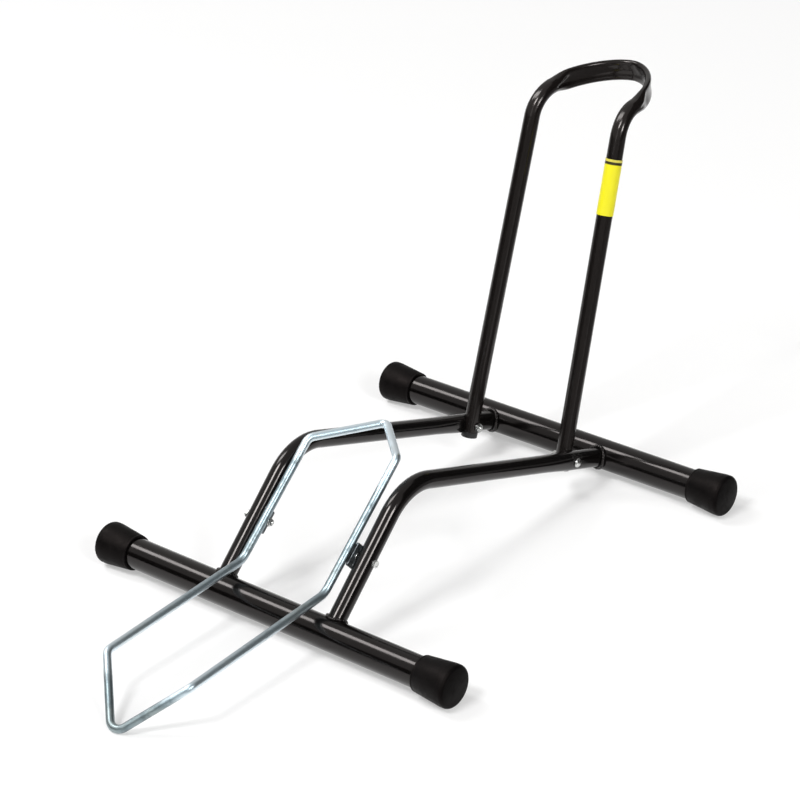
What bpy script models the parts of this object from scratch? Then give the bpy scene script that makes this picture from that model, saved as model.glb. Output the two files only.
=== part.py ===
"""Floor stand for one bicycle wheel.

Two base tubes with rubber end caps carry a pair of bent arms. A tall hoop is bolted across the
arms' rear ends and holds the wheel upright. A closed wire cradle hangs between the arms on two
pivot bolts: the wheel rolls over its front tip and tips it back.

Metres, +Z up, +Y from the cradle's tip towards the hoop, +X to the right. The origin is on the
floor, under the middle of the stand. In the code below, places behind the front base tube and
above the tubes' axes are measured from that tube's axis, and the empty "stand" shifts them.
"""

import math

import bmesh
import bpy
from mathutils import Matrix, Vector

# Clearance between two pieces that touch
GAP = 0.0003

# Base tubes, and the rubber caps that the stand rests on
TUBE_RADIUS = 0.0190
TUBE_WALL = 0.0015
TUBE_HALF_LENGTH = 0.2620
BASE_SPACING = 0.5268
CAP_WALL = 0.0069
CAP_RIM_WALL = 0.0029
CAP_GRIP = 0.0409
CAP_END_WALL = 0.0079
CAP_EDGE = 0.0042
CAP_LAND = 0.0050

# Arms: bent tubes from the front base tube over a peak to the rear one
ARM_RADIUS = 0.0110
ARM_WALL = 0.0015
ARM_PEAK_BACK = 0.1427
ARM_PEAK_UP = 0.1328
ARM_BEND_RADIUS = 0.0700
ARM_END_DROP = 0.0024
ARM_END_HALF_HEIGHT = 0.0122
ARM_PINCH = 0.0113
WELD_RADIUS = 0.0016

# Hoop: two legs, side bends, and a loop pressed to a strap
LEG_RADIUS = 0.0100
LEG_WALL = 0.0015
HOOP_REACH = 0.0755
LEG_LEAN = math.radians(18.45)
LEG_SPLAY = math.radians(1.13)
LEG_BELOW_BOLT = 0.0076
LEG_RUN = 0.4015
SIDE_BEND_RADIUS = 0.0419
SIDE_BEND_FLATTEN = 0.17
LOOP_SLOPE = math.radians(3.33)
LOOP_DEPTH = 0.0887
LOOP_DRAW_IN = 0.0020
LOOP_FULLNESS = 1.15
STRAP_THICKNESS = 0.0074
STRAP_TRANSITION = 0.0300
PLUG_HEAD = 0.0070
PLUG_LIP = 0.0003
LABEL_BELOW_BEND = 0.0228
LABEL_LENGTH = 0.0710
LABEL_THICKNESS = 0.0003

# Cradle: one closed wire on two pivot plates
WIRE_RADIUS = 0.0050
CRADLE_INNER_HALF = 0.0587
PIVOT_REACH = 0.0942
PIVOT_TO_WIRE = 0.0121
CRADLE_SLOPE = math.radians(40.6)
KNEE_REACH = 0.0564
REAR_REACH = 0.1086
REAR_SKEW = 0.0137
FRONT_LENGTH = 0.2225
FRONT_DROP = math.radians(2.7)
TIP_REACH = 0.0633
REAR_APEX_ACROSS = -0.0059
REAR_APEX_BACK = 0.0742
REAR_APEX_UP = 0.0059
KNEE_BEND = 0.0250
CORNER_BEND = 0.0140
TIGHT_BEND = 0.0085
PLATE_THICKNESS = 0.0030
PLATE_FRONT = 0.0153
PLATE_REAR = 0.0142
PLATE_BOTTOM = 0.0070
PLATE_TOP = 0.0110
PLATE_CORNER = 0.0020
PLATE_HOLE_REACH = 0.0105
PLATE_HOLE_RADIUS = 0.0021
PLATE_WELD_RADIUS = 0.0016
SPACER_THICKNESS = 0.0014
SPACER_RADIUS = 0.0060

# Pivot bolts with hex heads and lock nuts, and the hoop's round-headed bolts with plain nuts
PIVOT_BOLT_RADIUS = 0.0025
PIVOT_HEX_ACROSS = 0.0085
PIVOT_HEAD_HEIGHT = 0.0040
LOCK_NUT_HEIGHT = 0.0080
LOCK_NUT_ACROSS = 0.0100
HOOP_BOLT_RADIUS = 0.0030
HOOP_HEX_ACROSS = 0.0100
HOOP_NUT_HEIGHT = 0.0050
DOME_RADIUS = 0.0056
DOME_HEIGHT = 0.0035
BOLT_END = 0.0015

# Facets
TUBE_STEPS = 28
SECTION_SIDES = 20
SMALL_STEPS = 12
BEND_STEPS = 8
LOOP_STEPS = 14
CORNER_STEPS = 6

# Sizes that follow from those above
AXIS_HEIGHT = TUBE_RADIUS + CAP_WALL
RAIL_X = CRADLE_INNER_HALF + WIRE_RADIUS
PLATE_X = RAIL_X + WIRE_RADIUS + GAP
SPACER_X = PLATE_X + PLATE_THICKNESS + GAP
ARM_X = SPACER_X + SPACER_THICKNESS + GAP + ARM_RADIUS
ARM_END_HALF_WIDTH = 2 * ARM_RADIUS - ARM_END_HALF_HEIGHT
LEG_X = ARM_X + ARM_END_HALF_WIDTH - ARM_PINCH - GAP - LEG_RADIUS
RISE_ANGLE = math.atan2(ARM_PEAK_UP, ARM_PEAK_BACK)
FALL_ANGLE = math.atan2(ARM_PEAK_UP + ARM_END_DROP, BASE_SPACING - ARM_PEAK_BACK)
SIDES = {"left": -1, "right": 1}


def side_point(back, up, across=0.0):
    """A point from its place behind and above the front base tube's axis."""
    return Vector((across, back, AXIS_HEIGHT + up))


def side_direction(angle):
    """The unit direction in the stand's side view at an angle above +Y."""
    return Vector((0.0, math.cos(angle), math.sin(angle)))


PIVOT = side_point(0, 0) + PIVOT_REACH * side_direction(RISE_ANGLE)
ARM_END = side_point(BASE_SPACING, -ARM_END_DROP)
HOOP_BOLT = ARM_END + HOOP_REACH * side_direction(math.pi - FALL_ANGLE)


def clear_scene():
    for obj in list(bpy.data.objects):
        bpy.data.objects.remove(obj)


def new_collection(name):
    collection = bpy.data.collections.new(name)
    bpy.context.scene.collection.children.link(collection)
    return collection


def make_material(name, colour, roughness, metallic):
    material = bpy.data.materials.new(name)
    material.use_nodes = True
    shader = material.node_tree.nodes["Principled BSDF"]
    shader.inputs["Base Color"].default_value = (*colour, 1.0)
    shader.inputs["Roughness"].default_value = roughness
    shader.inputs["Metallic"].default_value = metallic
    material.diffuse_color = (*colour, 1.0)
    return material


def add_empty(name, location, parent=None):
    empty = bpy.data.objects.new(name, None)
    empty.location = location
    empty.parent = parent
    PARTS.objects.link(empty)
    return empty


def add_part(name, data, parent, material, location=(0, 0, 0), turn=None):
    """Links a piece, placed under its parent, with a material of its own."""
    obj = bpy.data.objects.new(name, data)
    obj.parent = parent
    obj.matrix_basis = Matrix.Translation(location) @ (turn or Matrix.Identity(4))
    colour, roughness, metallic = material
    data.materials.append(make_material(name, colour, roughness, metallic))
    PARTS.objects.link(obj)
    return obj


def add_cutter(name, data, location=(0, 0, 0), turn=None):
    obj = bpy.data.objects.new(name, data)
    obj.parent = STAND
    obj.matrix_basis = Matrix.Translation(location) @ (turn or Matrix.Identity(4))
    obj.hide_render = True
    obj.display_type = "WIRE"
    CUTTERS.objects.link(obj)
    return obj


def boolean(obj, other, operation="DIFFERENCE"):
    modifier = obj.modifiers.new(other.name, "BOOLEAN")
    modifier.operation = operation
    modifier.solver = "EXACT"
    modifier.object = other


def to_x(side):
    """Turns a piece made along +Z so that it points out along +X or -X."""
    return Matrix.Rotation(side * math.pi / 2, 4, "Y")


def along(direction):
    """Turns a piece made along +Z so that it points in a direction."""
    return direction.to_track_quat("Z", "Y").to_matrix().to_4x4()


def smooth(mesh, angle=0.6):
    mesh.shade_smooth()
    mesh.set_sharp_from_angle(angle=angle)
    return mesh


def mesh_of(bm, name):
    mesh = bpy.data.meshes.new(name)
    bm.to_mesh(mesh)
    bm.free()
    return smooth(mesh)


def prism(name, radius, low, high, sides):
    """A closed cylinder along Z between two heights."""
    bm = bmesh.new()
    bmesh.ops.create_cone(
        bm, cap_ends=True, segments=sides, radius1=radius, radius2=radius, depth=high - low
    )
    bmesh.ops.translate(bm, verts=bm.verts, vec=(0, 0, (low + high) / 2))
    return mesh_of(bm, name)


def turned(name, profile, steps, ring=False, facet_down=False):
    """An object's mesh with a profile of (radius, height) points, and its Screw settings.

    A solid's profile runs from the axis down its outer side to the axis. A ring's profile
    closes on itself. With facet_down the radii are those of the flats, and a flat faces down.
    """
    start = math.pi / steps if facet_down else 0.0
    grow = 1 / math.cos(math.pi / steps) if facet_down else 1.0
    mesh = bpy.data.meshes.new(name)
    points = [
        (r * grow * math.cos(start), r * grow * math.sin(start), h) for r, h in profile
    ]
    edges = [(i, i + 1) for i in range(len(points) - 1)]
    if ring:
        edges.append((len(points) - 1, 0))
    mesh.from_pydata(points, edges, [])
    return mesh


def spin(obj, steps):
    screw = obj.modifiers.new("Screw", "SCREW")
    screw.axis = "Z"
    screw.steps = screw.render_steps = steps
    screw.use_merge_vertices = True
    screw.merge_threshold = 0.00001
    screw.use_smooth_shade = True
    return obj


def poly_curve(name, points, radius, resolution, cyclic):
    curve = bpy.data.curves.new(name, "CURVE")
    curve.dimensions = "3D"
    curve.twist_mode = "MINIMUM"
    curve.bevel_depth = radius
    curve.bevel_resolution = resolution
    curve.use_fill_caps = not cyclic
    spline = curve.splines.new("POLY")
    spline.points.add(len(points) - 1)
    for target, point in zip(spline.points, points):
        target.co = (*point, 1.0)
    spline.use_cyclic_u = cyclic
    spline.use_smooth = True
    return curve


def rounded(points, radii, cyclic=True):
    """A path with each corner replaced by an arc of its radius."""
    path = []
    count = len(points)
    for i, (corner, radius) in enumerate(zip(points, radii)):
        if not cyclic and i in (0, count - 1):
            path.append(corner)
            continue
        before = (points[i - 1] - corner).normalized()
        after = (points[(i + 1) % count] - corner).normalized()
        half = before.angle(after) / 2
        centre = corner + (before + after).normalized() * radius / math.sin(half)
        start = corner + before * radius / math.tan(half) - centre
        turn = start.angle(corner + after * radius / math.tan(half) - centre)
        axis = before.cross(after)
        for k in range(CORNER_STEPS + 1):
            path.append(centre + Matrix.Rotation(-turn * k / CORNER_STEPS, 3, axis) @ start)
    return path


def oval(centre, up, across, half_up, half_across):
    """A ring of points round a centre: a circle, or a stadium where the halves differ."""
    small = min(half_up, half_across)
    ring = []
    for k in range(SECTION_SIDES):
        angle = (k + 0.5) * 2 * math.pi / SECTION_SIDES
        u, v = math.sin(angle), math.cos(angle)
        high = small * u + math.copysign(half_up - small, u)
        wide = small * v + math.copysign(half_across - small, v)
        ring.append(centre + up * high + across * wide)
    return ring


def skin(bm, rings):
    """Side faces over rings of equal length, with the rings' vertices."""
    rows = [[bm.verts.new(point) for point in ring] for ring in rings]
    for low, high in zip(rows, rows[1:]):
        for k in range(len(low)):
            m = (k + 1) % len(low)
            bm.faces.new((low[k], low[m], high[m], high[k]))
    return rows


def solid_loft(name, rings):
    bm = bmesh.new()
    rows = skin(bm, rings)
    bm.faces.new(reversed(rows[0]))
    bm.faces.new(rows[-1])
    bmesh.ops.recalc_face_normals(bm, faces=bm.faces)
    return mesh_of(bm, name)


def hollow_loft(name, outer, inner):
    """A tube of changing section whose two ends are open."""
    bm = bmesh.new()
    rows = skin(bm, outer), skin(bm, inner)
    for end in (0, -1):
        rim, bore = rows[0][end], rows[1][end]
        for k in range(len(rim)):
            m = (k + 1) % len(rim)
            bm.faces.new((rim[k], rim[m], bore[m], bore[k]))
    bmesh.ops.recalc_face_normals(bm, faces=bm.faces)
    return mesh_of(bm, name)


def base_tube(name, back):
    outer, bore = TUBE_RADIUS, TUBE_RADIUS - TUBE_WALL
    half = TUBE_HALF_LENGTH
    profile = [(outer, half), (outer, -half), (bore, -half), (bore, half)]
    tube = add_part(
        name, turned(name, profile, TUBE_STEPS, ring=True), STAND, BLACK,
        side_point(back, 0), to_x(1),
    )
    spin(tube, TUBE_STEPS)


def end_cap(name, back, side):
    """A rubber cup over a base tube's end, widest near the outside, where it has a flat foot."""
    bore = TUBE_RADIUS + GAP
    wide = TUBE_RADIUS + CAP_WALL
    rim = TUBE_RADIUS + CAP_RIM_WALL
    floor = TUBE_HALF_LENGTH + GAP
    top = TUBE_HALF_LENGTH + CAP_END_WALL
    land = top - CAP_EDGE
    profile = [(0, top)]
    for k in range(4):
        angle = math.pi / 2 * (1 - k / 3)
        profile.append(
            (wide - CAP_EDGE * (1 - math.cos(angle)), top - CAP_EDGE * (1 - math.sin(angle)))
        )
    profile += [
        (wide, land - CAP_LAND),
        (rim, TUBE_HALF_LENGTH - CAP_GRIP),
        (bore, TUBE_HALF_LENGTH - CAP_GRIP),
        (bore, floor),
        (0, floor),
    ]
    mesh = turned(name, profile, TUBE_STEPS, facet_down=True)
    spin(add_part(name, mesh, STAND, RUBBER, side_point(back, 0), to_x(side)), TUBE_STEPS)


def arm_rings(shrink):
    """Rings of the arm's outside, or of its cavity, which is shrunk and sticks out at the ends."""
    round_half = ARM_RADIUS - shrink
    start = side_point(0, 0) - side_direction(RISE_ANGLE) * shrink
    peak = side_point(ARM_PEAK_BACK, ARM_PEAK_UP)
    across = Vector((1, 0, 0))
    rings = [oval(start, side_direction(RISE_ANGLE + math.pi / 2), across, round_half, round_half)]
    turn = RISE_ANGLE + FALL_ANGLE
    tangent = ARM_BEND_RADIUS * math.tan(turn / 2)
    centre = (
        peak
        - side_direction(RISE_ANGLE) * tangent
        + side_direction(RISE_ANGLE - math.pi / 2) * ARM_BEND_RADIUS
    )
    for k in range(BEND_STEPS + 1):
        up = side_direction(RISE_ANGLE + math.pi / 2 - turn * k / BEND_STEPS)
        rings.append(oval(centre + up * ARM_BEND_RADIUS, up, across, round_half, round_half))
    up = side_direction(math.pi / 2 - FALL_ANGLE)
    back = side_direction(-FALL_ANGLE)
    tall = ARM_END_HALF_HEIGHT - shrink
    narrow = ARM_END_HALF_WIDTH - shrink
    before, at = HOOP_REACH + 5 * LEG_RADIUS, HOOP_REACH + 2 * LEG_RADIUS
    rings.append(oval(ARM_END - back * before, up, across, round_half, round_half))
    rings.append(oval(ARM_END - back * at, up, across, tall, narrow))
    rings.append(oval(ARM_END + back * shrink, up, across, tall, narrow))
    return rings


def leg_axis(side):
    """The leg's upward direction: it leans back and in."""
    lean = side_direction(math.pi / 2 - LEG_LEAN) * math.cos(LEG_SPLAY)
    return (lean - Vector((side * math.sin(LEG_SPLAY), 0, 0))).normalized()


def leg_bolt(side):
    return Vector((side * LEG_X, HOOP_BOLT.y, HOOP_BOLT.z))


def arm(name, side, holes):
    """A bent tube with coped ends, pressed in where the hoop's leg lies against it."""
    place = (side * ARM_X, 0, 0)
    body = add_part(name, solid_loft(name, arm_rings(0.0)), STAND, BLACK, place)
    cavity = add_cutter(f"{name}_cavity", solid_loft(f"{name}_cavity", arm_rings(ARM_WALL)), place)
    reach = HOOP_REACH
    bed = LEG_RADIUS + GAP
    for label, radius, cut in (("leg_bed", bed, body), ("leg_dent", bed + ARM_WALL, cavity)):
        mesh = prism(f"{name}_{label}", radius, -reach, reach, SECTION_SIDES)
        boolean(cut, add_cutter(mesh.name, mesh, leg_bolt(side), along(leg_axis(side))))
    boolean(body, cavity)
    for hole in holes:
        boolean(body, hole)


def weld(name, side, foot, angle, half_up, half_across):
    """A bead in the corner between an arm and a base tube.

    foot is where the arm's axis ends, angle its direction away from the base tube, and the
    halves are those of the arm's section there.
    """
    reach = WELD_RADIUS + GAP
    out = side_direction(angle)
    up = side_direction(angle + math.pi / 2)
    tube = side_point(0 if foot.y < BASE_SPACING / 2 else BASE_SPACING, 0) - foot
    ring = oval(Vector(), up, Vector((1, 0, 0)), half_up + reach, half_across + reach)
    points = []
    for point in ring:
        high = (point - tube).dot(up)
        points.append(point + out * (tube.dot(out) + math.sqrt((TUBE_RADIUS + reach) ** 2 - high**2)))
    curve = poly_curve(name, points, WELD_RADIUS, 2, cyclic=True)
    add_part(name, curve, STAND, BLACK, foot + Vector((side * ARM_X, 0, 0)))


def strap_half_height(half_thickness):
    """Half the height of a stadium as long round its outline as the leg's tube."""
    return half_thickness + math.pi / 2 * (LEG_RADIUS - half_thickness)


def ease(value):
    value = min(max(value, 0.0), 1.0)
    return value * value * (3 - 2 * value)


def hoop_stations():
    """Stations up the right leg to the loop's middle: centre, up, distance past the leg."""
    lean = math.pi / 2 - LEG_LEAN
    turn = lean - LOOP_SLOPE
    bend = SIDE_BEND_RADIUS * turn
    narrowing = math.tan(LEG_SPLAY)

    def half_width(run):
        return LEG_X - narrowing * (LEG_RUN + run) - LOOP_DRAW_IN * ease(run / bend)

    up_leg = side_direction(lean)
    bolt = Vector((0, HOOP_BOLT.y, HOOP_BOLT.z))
    stations = []
    for height in (-LEG_BELOW_BOLT, LEG_RUN / 2, LEG_RUN - LEG_RADIUS):
        centre = bolt + up_leg * height
        centre.x = LEG_X - narrowing * height
        stations.append((centre, side_direction(lean + math.pi / 2), height - LEG_RUN))
    heart = bolt + up_leg * LEG_RUN + side_direction(lean - math.pi / 2) * SIDE_BEND_RADIUS
    for k in range(BEND_STEPS + 1):
        angle = lean - turn * k / BEND_STEPS + math.pi / 2
        centre = heart + side_direction(angle) * SIDE_BEND_RADIUS
        run = bend * k / BEND_STEPS
        centre.x = half_width(run)
        stations.append((centre, side_direction(angle), run))
    root = stations[-1][0]
    back = side_direction(LOOP_SLOPE)
    up = side_direction(LOOP_SLOPE + math.pi / 2)
    last, run = root, bend
    for k in range(1, LOOP_STEPS + 1):
        angle = math.pi / 2 * k / LOOP_STEPS
        centre = root + back * LOOP_DEPTH * math.sin(angle) ** LOOP_FULLNESS
        centre.x = root.x * max(math.cos(angle), 0.0) ** LOOP_FULLNESS
        run += (centre - last).length
        last = centre
        stations.append((centre, up, run))
    return stations, bend


def hoop_sections(shrink):
    """Rings round the whole hoop, from the left leg's foot to the right one's."""
    right, bend = hoop_stations()
    mirrored = [(Vector((-c.x, c.y, c.z)), up, run) for c, up, run in right[:-1]]
    path = mirrored + right[::-1]
    thin = STRAP_THICKNESS / 2
    tall = strap_half_height(thin)
    rings = []
    for i, (centre, up, run) in enumerate(path):
        before = path[max(i - 1, 0)][0]
        after = path[min(i + 1, len(path) - 1)][0]
        ahead = (after - before).normalized()
        up = (up - ahead * up.dot(ahead)).normalized()
        squeeze = ease(1 - abs(run - bend / 2) / bend) * SIDE_BEND_FLATTEN
        pressed = ease((run - bend) / STRAP_TRANSITION)
        high = LEG_RADIUS * (1 - squeeze) + (tall - LEG_RADIUS) * pressed
        wide = LEG_RADIUS + (thin - LEG_RADIUS) * pressed
        rings.append(oval(centre - HOOP_BOLT, up, ahead.cross(up), high - shrink, wide - shrink))
    return rings


def hoop(holes):
    mesh = hollow_loft("hoop", hoop_sections(0.0), hoop_sections(LEG_WALL))
    body = add_part("hoop", mesh, STAND, BLACK, HOOP_BOLT)
    for hole in holes:
        boolean(body, hole)


def leg_plug(name, side):
    """A plastic plug in the leg's foot, its head as wide as the tube."""
    head = LEG_RADIUS + PLUG_LIP
    stem = LEG_RADIUS - LEG_WALL - GAP
    foot = LEG_BELOW_BOLT + GAP
    top = HOOP_BOLT_RADIUS + 2 * GAP
    low = foot + PLUG_HEAD
    edge = PLUG_HEAD / 5
    profile = [
        (0, -top), (stem, -top), (stem, -foot), (head, -foot),
        (head, edge - low), (head - edge, -low), (0, -low),
    ]
    mesh = turned(name, profile, SECTION_SIDES)
    plug = add_part(name, mesh, STAND, PLASTIC, leg_bolt(side), along(leg_axis(side)))
    spin(plug, SECTION_SIDES)


def leg_label(side):
    """A bare wrap-round label on one leg."""
    inner = LEG_RADIUS + GAP
    outer = inner + LABEL_THICKNESS
    high = LEG_RUN - LABEL_BELOW_BEND
    low = high - LABEL_LENGTH
    profile = [(outer, high), (outer, low), (inner, low), (inner, high)]
    mesh = turned("leg_label", profile, SECTION_SIDES, ring=True)
    label = add_part("leg_label", mesh, STAND, YELLOW, leg_bolt(side), along(leg_axis(side)))
    spin(label, SECTION_SIDES)


def hex_prism(name, across, low, high):
    """A closed hex prism along Z, from its width across the flats."""
    return prism(name, across / 2 / math.cos(math.pi / 6), low, high, 6)


def nut(name, side, inner_x, height, across, bolt_radius, place):
    """A hex nut whose inner end is at a distance from the middle."""
    at = place + Vector((side * inner_x, 0, 0))
    body = add_part(name, hex_prism(name, across, 0, height), STAND, ZINC, at, to_x(side))
    bore = prism(f"{name}_bore", bolt_radius + GAP, -height, 2 * height, SMALL_STEPS)
    boolean(body, add_cutter(bore.name, bore, at, to_x(side)))


def hex_bolt(name, side, tip_x, seat_x, place):
    """A hex bolt from its threaded tip out to the seat of its head."""
    long = seat_x - tip_x
    at = place + Vector((side * tip_x, 0, 0))
    head = hex_prism(name, PIVOT_HEX_ACROSS, long, long + PIVOT_HEAD_HEIGHT)
    body = add_part(name, head, STAND, ZINC, at, to_x(side))
    reach = long + PIVOT_HEAD_HEIGHT / 2
    shank = prism(f"{name}_shank", PIVOT_BOLT_RADIUS, 0, reach, SMALL_STEPS)
    boolean(body, add_cutter(shank.name, shank, at, to_x(side)), "UNION")


def dome_bolt(name, side, tip_x, seat_x, place):
    """A round-headed bolt from its threaded tip out to the seat of its head."""
    long = seat_x - tip_x
    profile = []
    for k in range(5):
        angle = math.pi / 2 * (1 - k / 4)
        profile.append((DOME_RADIUS * math.cos(angle), long + DOME_HEIGHT * math.sin(angle)))
    profile[0] = (0, long + DOME_HEIGHT)
    profile += [(HOOP_BOLT_RADIUS, long), (HOOP_BOLT_RADIUS, 0), (0, 0)]
    at = place + Vector((side * tip_x, 0, 0))
    body = add_part(name, turned(name, profile, SMALL_STEPS), STAND, ZINC, at, to_x(side))
    spin(body, SMALL_STEPS)


def cradle_tip(front):
    """The front corner of the wire, low enough that its rounded tip lies on the floor."""
    tip = Vector((0, front.y - TIP_REACH, WIRE_RADIUS))
    for _ in range(8):
        reach = Vector((front.x, front.y - tip.y, front.z - tip.z))
        flat = math.hypot(reach.y, reach.z)
        half = math.acos(flat / reach.length)
        lift = CORNER_BEND * (1 / math.sin(half) - 1) * reach.z / flat
        tip.z = WIRE_RADIUS - lift
    return tip


def cradle_side():
    """The wire's right-hand corners as they mirror on the left, then its rear and front points."""
    run = side_direction(CRADLE_SLOPE)
    offset = side_direction(CRADLE_SLOPE + math.pi / 2) * PIVOT_TO_WIRE
    rail = Vector((RAIL_X, 0, 0))
    knee = PIVOT + offset - run * KNEE_REACH + rail
    rear = PIVOT + offset + run * REAR_REACH + rail
    front = knee - side_direction(FRONT_DROP) * FRONT_LENGTH
    apex = Vector((REAR_APEX_ACROSS, rear.y + REAR_APEX_BACK, rear.z + REAR_APEX_UP))
    return front, knee, rear, apex, cradle_tip(front)


def mirror(point):
    return Vector((-point.x, point.y, point.z))


def cradle_wire():
    """The closed wire, whose rear end is bent a little askew: its right side is the longer."""
    front, knee, rear, apex, tip = cradle_side()
    far_rear = rear + side_direction(CRADLE_SLOPE) * REAR_SKEW
    corners = [tip, front, knee, far_rear, apex, mirror(rear), mirror(knee), mirror(front)]
    bends = [CORNER_BEND] * len(corners)
    bends[2] = bends[6] = KNEE_BEND
    bends[3] = bends[4] = TIGHT_BEND
    path = [point - PIVOT for point in rounded(corners, bends)]
    add_part("cradle_wire", poly_curve("cradle_wire", path, WIRE_RADIUS, 4, True), CRADLE, ZINC)


def rounded_outline(left, bottom, right, top, radius):
    """A rectangle's outline with rounded corners."""
    points = []
    corners = ((right, top, 0), (left, top, 1), (left, bottom, 2), (right, bottom, 3))
    for x, y, quarter in corners:
        cx = x - math.copysign(radius, x)
        cy = y - math.copysign(radius, y)
        for k in range(4):
            angle = math.pi / 2 * (quarter + k / 3)
            points.append((cx + radius * math.cos(angle), cy + radius * math.sin(angle)))
    return points


def circle(x, y, radius):
    turns = [2 * math.pi * k / SMALL_STEPS for k in range(SMALL_STEPS)]
    return [(x + radius * math.cos(t), y + radius * math.sin(t)) for t in turns]


def pivot_plate(name, side):
    """A flat plate under the wire, with the pivot hole and a smaller one in front of it."""
    curve = bpy.data.curves.new(name, "CURVE")
    curve.dimensions = "2D"
    curve.fill_mode = "BOTH"
    curve.extrude = PLATE_THICKNESS / 2
    outlines = (
        rounded_outline(-PLATE_FRONT, -PLATE_BOTTOM, PLATE_REAR, PLATE_TOP, PLATE_CORNER),
        circle(0, 0, PIVOT_BOLT_RADIUS + GAP),
        circle(-PLATE_HOLE_REACH, 0, PLATE_HOLE_RADIUS),
    )
    for outline in outlines:
        spline = curve.splines.new("POLY")
        spline.points.add(len(outline) - 1)
        for target, (x, y) in zip(spline.points, outline):
            target.co = (x, y, 0, 1)
        spline.use_cyclic_u = True
    place = Vector((side * (PLATE_X + PLATE_THICKNESS / 2), 0, 0))
    run = side_direction(CRADLE_SLOPE)
    up = side_direction(CRADLE_SLOPE + math.pi / 2)
    turn = Matrix((run, up, run.cross(up))).transposed().to_4x4()
    add_part(name, curve, CRADLE, ZINC, place, turn)


def plate_weld(name, side):
    """A bead that joins the plate's upper edge to the wire."""
    reach = PLATE_WELD_RADIUS + GAP
    up = PLATE_TOP + reach
    out = math.sqrt((WIRE_RADIUS + reach) ** 2 - (up - PIVOT_TO_WIRE) ** 2)
    run = side_direction(CRADLE_SLOPE)
    inset = PLATE_CORNER + PLATE_WELD_RADIUS
    start = Vector((side * (RAIL_X + out), 0, 0)) + side_direction(CRADLE_SLOPE + math.pi / 2) * up
    ends = [start - run * (PLATE_FRONT - inset), start + run * (PLATE_REAR - inset)]
    add_part(name, poly_curve(name, ends, PLATE_WELD_RADIUS, 2, False), CRADLE, ZINC)


def pivot_spacer(name, side):
    """A washer between the plate and the arm."""
    inner = PIVOT_BOLT_RADIUS + GAP
    profile = [
        (SPACER_RADIUS, SPACER_THICKNESS), (SPACER_RADIUS, 0), (inner, 0), (inner, SPACER_THICKNESS),
    ]
    mesh = turned(name, profile, SMALL_STEPS, ring=True)
    at = PIVOT + Vector((side * SPACER_X, 0, 0))
    spin(add_part(name, mesh, STAND, ZINC, at, to_x(side)), SMALL_STEPS)


def stand_middle():
    """The middle of the stand's length, from the wire's tip to the back of the loop."""
    front, _, _, _, tip = cradle_side()
    flat = Vector((0, front.y - tip.y, front.z - tip.z))
    half = math.acos(flat.length / (front - tip).length)
    lift = CORNER_BEND * (1 / math.sin(half) - 1)
    nose = tip.y + lift * flat.y / flat.length - WIRE_RADIUS
    thin = STRAP_THICKNESS / 2
    tilt = (strap_half_height(thin) - thin) * math.sin(LOOP_SLOPE)
    tail = hoop_stations()[0][-1][0].y + thin + tilt
    return (nose + tail) / 2


def build():
    half_span = BASE_SPACING
    bed = TUBE_RADIUS + GAP
    cuts = {}
    for label, radius, place, sides in (
        ("front_cope", bed, side_point(0, 0), TUBE_STEPS),
        ("rear_cope", bed, side_point(BASE_SPACING, 0), TUBE_STEPS),
        ("pivot_hole", PIVOT_BOLT_RADIUS + GAP, PIVOT, SMALL_STEPS),
        ("hoop_hole", HOOP_BOLT_RADIUS + GAP, HOOP_BOLT, SMALL_STEPS),
    ):
        cuts[label] = add_cutter(
            label, prism(label, radius, -half_span, half_span, sides), place, to_x(1)
        )

    for end, back in (("front", 0), ("rear", BASE_SPACING)):
        base_tube(f"{end}_base_tube", back)
        for word, side in SIDES.items():
            end_cap(f"{end}_{word}_cap", back, side)
    hoop([cuts["hoop_hole"]])
    for word, side in SIDES.items():
        arm(f"{word}_arm", side, cuts.values())
        weld(f"front_{word}_weld", side, side_point(0, 0), RISE_ANGLE, ARM_RADIUS, ARM_RADIUS)
        weld(
            f"rear_{word}_weld", side, ARM_END, math.pi - FALL_ANGLE,
            ARM_END_HALF_HEIGHT, ARM_END_HALF_WIDTH,
        )
        leg_plug(f"{word}_leg_plug", side)
        nut_x = LEG_X - LEG_RADIUS - GAP - HOOP_NUT_HEIGHT
        nut(
            f"{word}_hoop_nut", side, nut_x, HOOP_NUT_HEIGHT,
            HOOP_HEX_ACROSS, HOOP_BOLT_RADIUS, HOOP_BOLT,
        )
        head_x = ARM_X + ARM_END_HALF_WIDTH + GAP
        dome_bolt(f"{word}_hoop_bolt", side, nut_x - BOLT_END, head_x, HOOP_BOLT)
        nut_x = PLATE_X - GAP - LOCK_NUT_HEIGHT
        nut(
            f"{word}_pivot_nut", side, nut_x, LOCK_NUT_HEIGHT,
            LOCK_NUT_ACROSS, PIVOT_BOLT_RADIUS, PIVOT,
        )
        head_x = ARM_X + ARM_RADIUS + GAP
        hex_bolt(f"{word}_pivot_bolt", side, nut_x - BOLT_END, head_x, PIVOT)
        pivot_spacer(f"{word}_pivot_spacer", side)
        pivot_plate(f"{word}_pivot_plate", side)
        plate_weld(f"{word}_plate_weld", side)
    leg_label(SIDES["right"])
    cradle_wire()


# Colour, roughness and metallic value of each finish
BLACK = ((0.012, 0.011, 0.011), 0.12, 0.0)
RUBBER = ((0.016, 0.016, 0.016), 0.75, 0.0)
PLASTIC = ((0.012, 0.012, 0.014), 0.45, 0.0)
ZINC = ((0.62, 0.66, 0.70), 0.28, 1.0)
YELLOW = ((0.90, 0.83, 0.02), 0.35, 0.0)

clear_scene()
PARTS = new_collection("bike_wheel_stand")
CUTTERS = new_collection("cutters")
STAND = add_empty("stand", (0, -stand_middle(), 0))
CRADLE = add_empty("cradle_pivot", PIVOT, STAND)
build()
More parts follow.
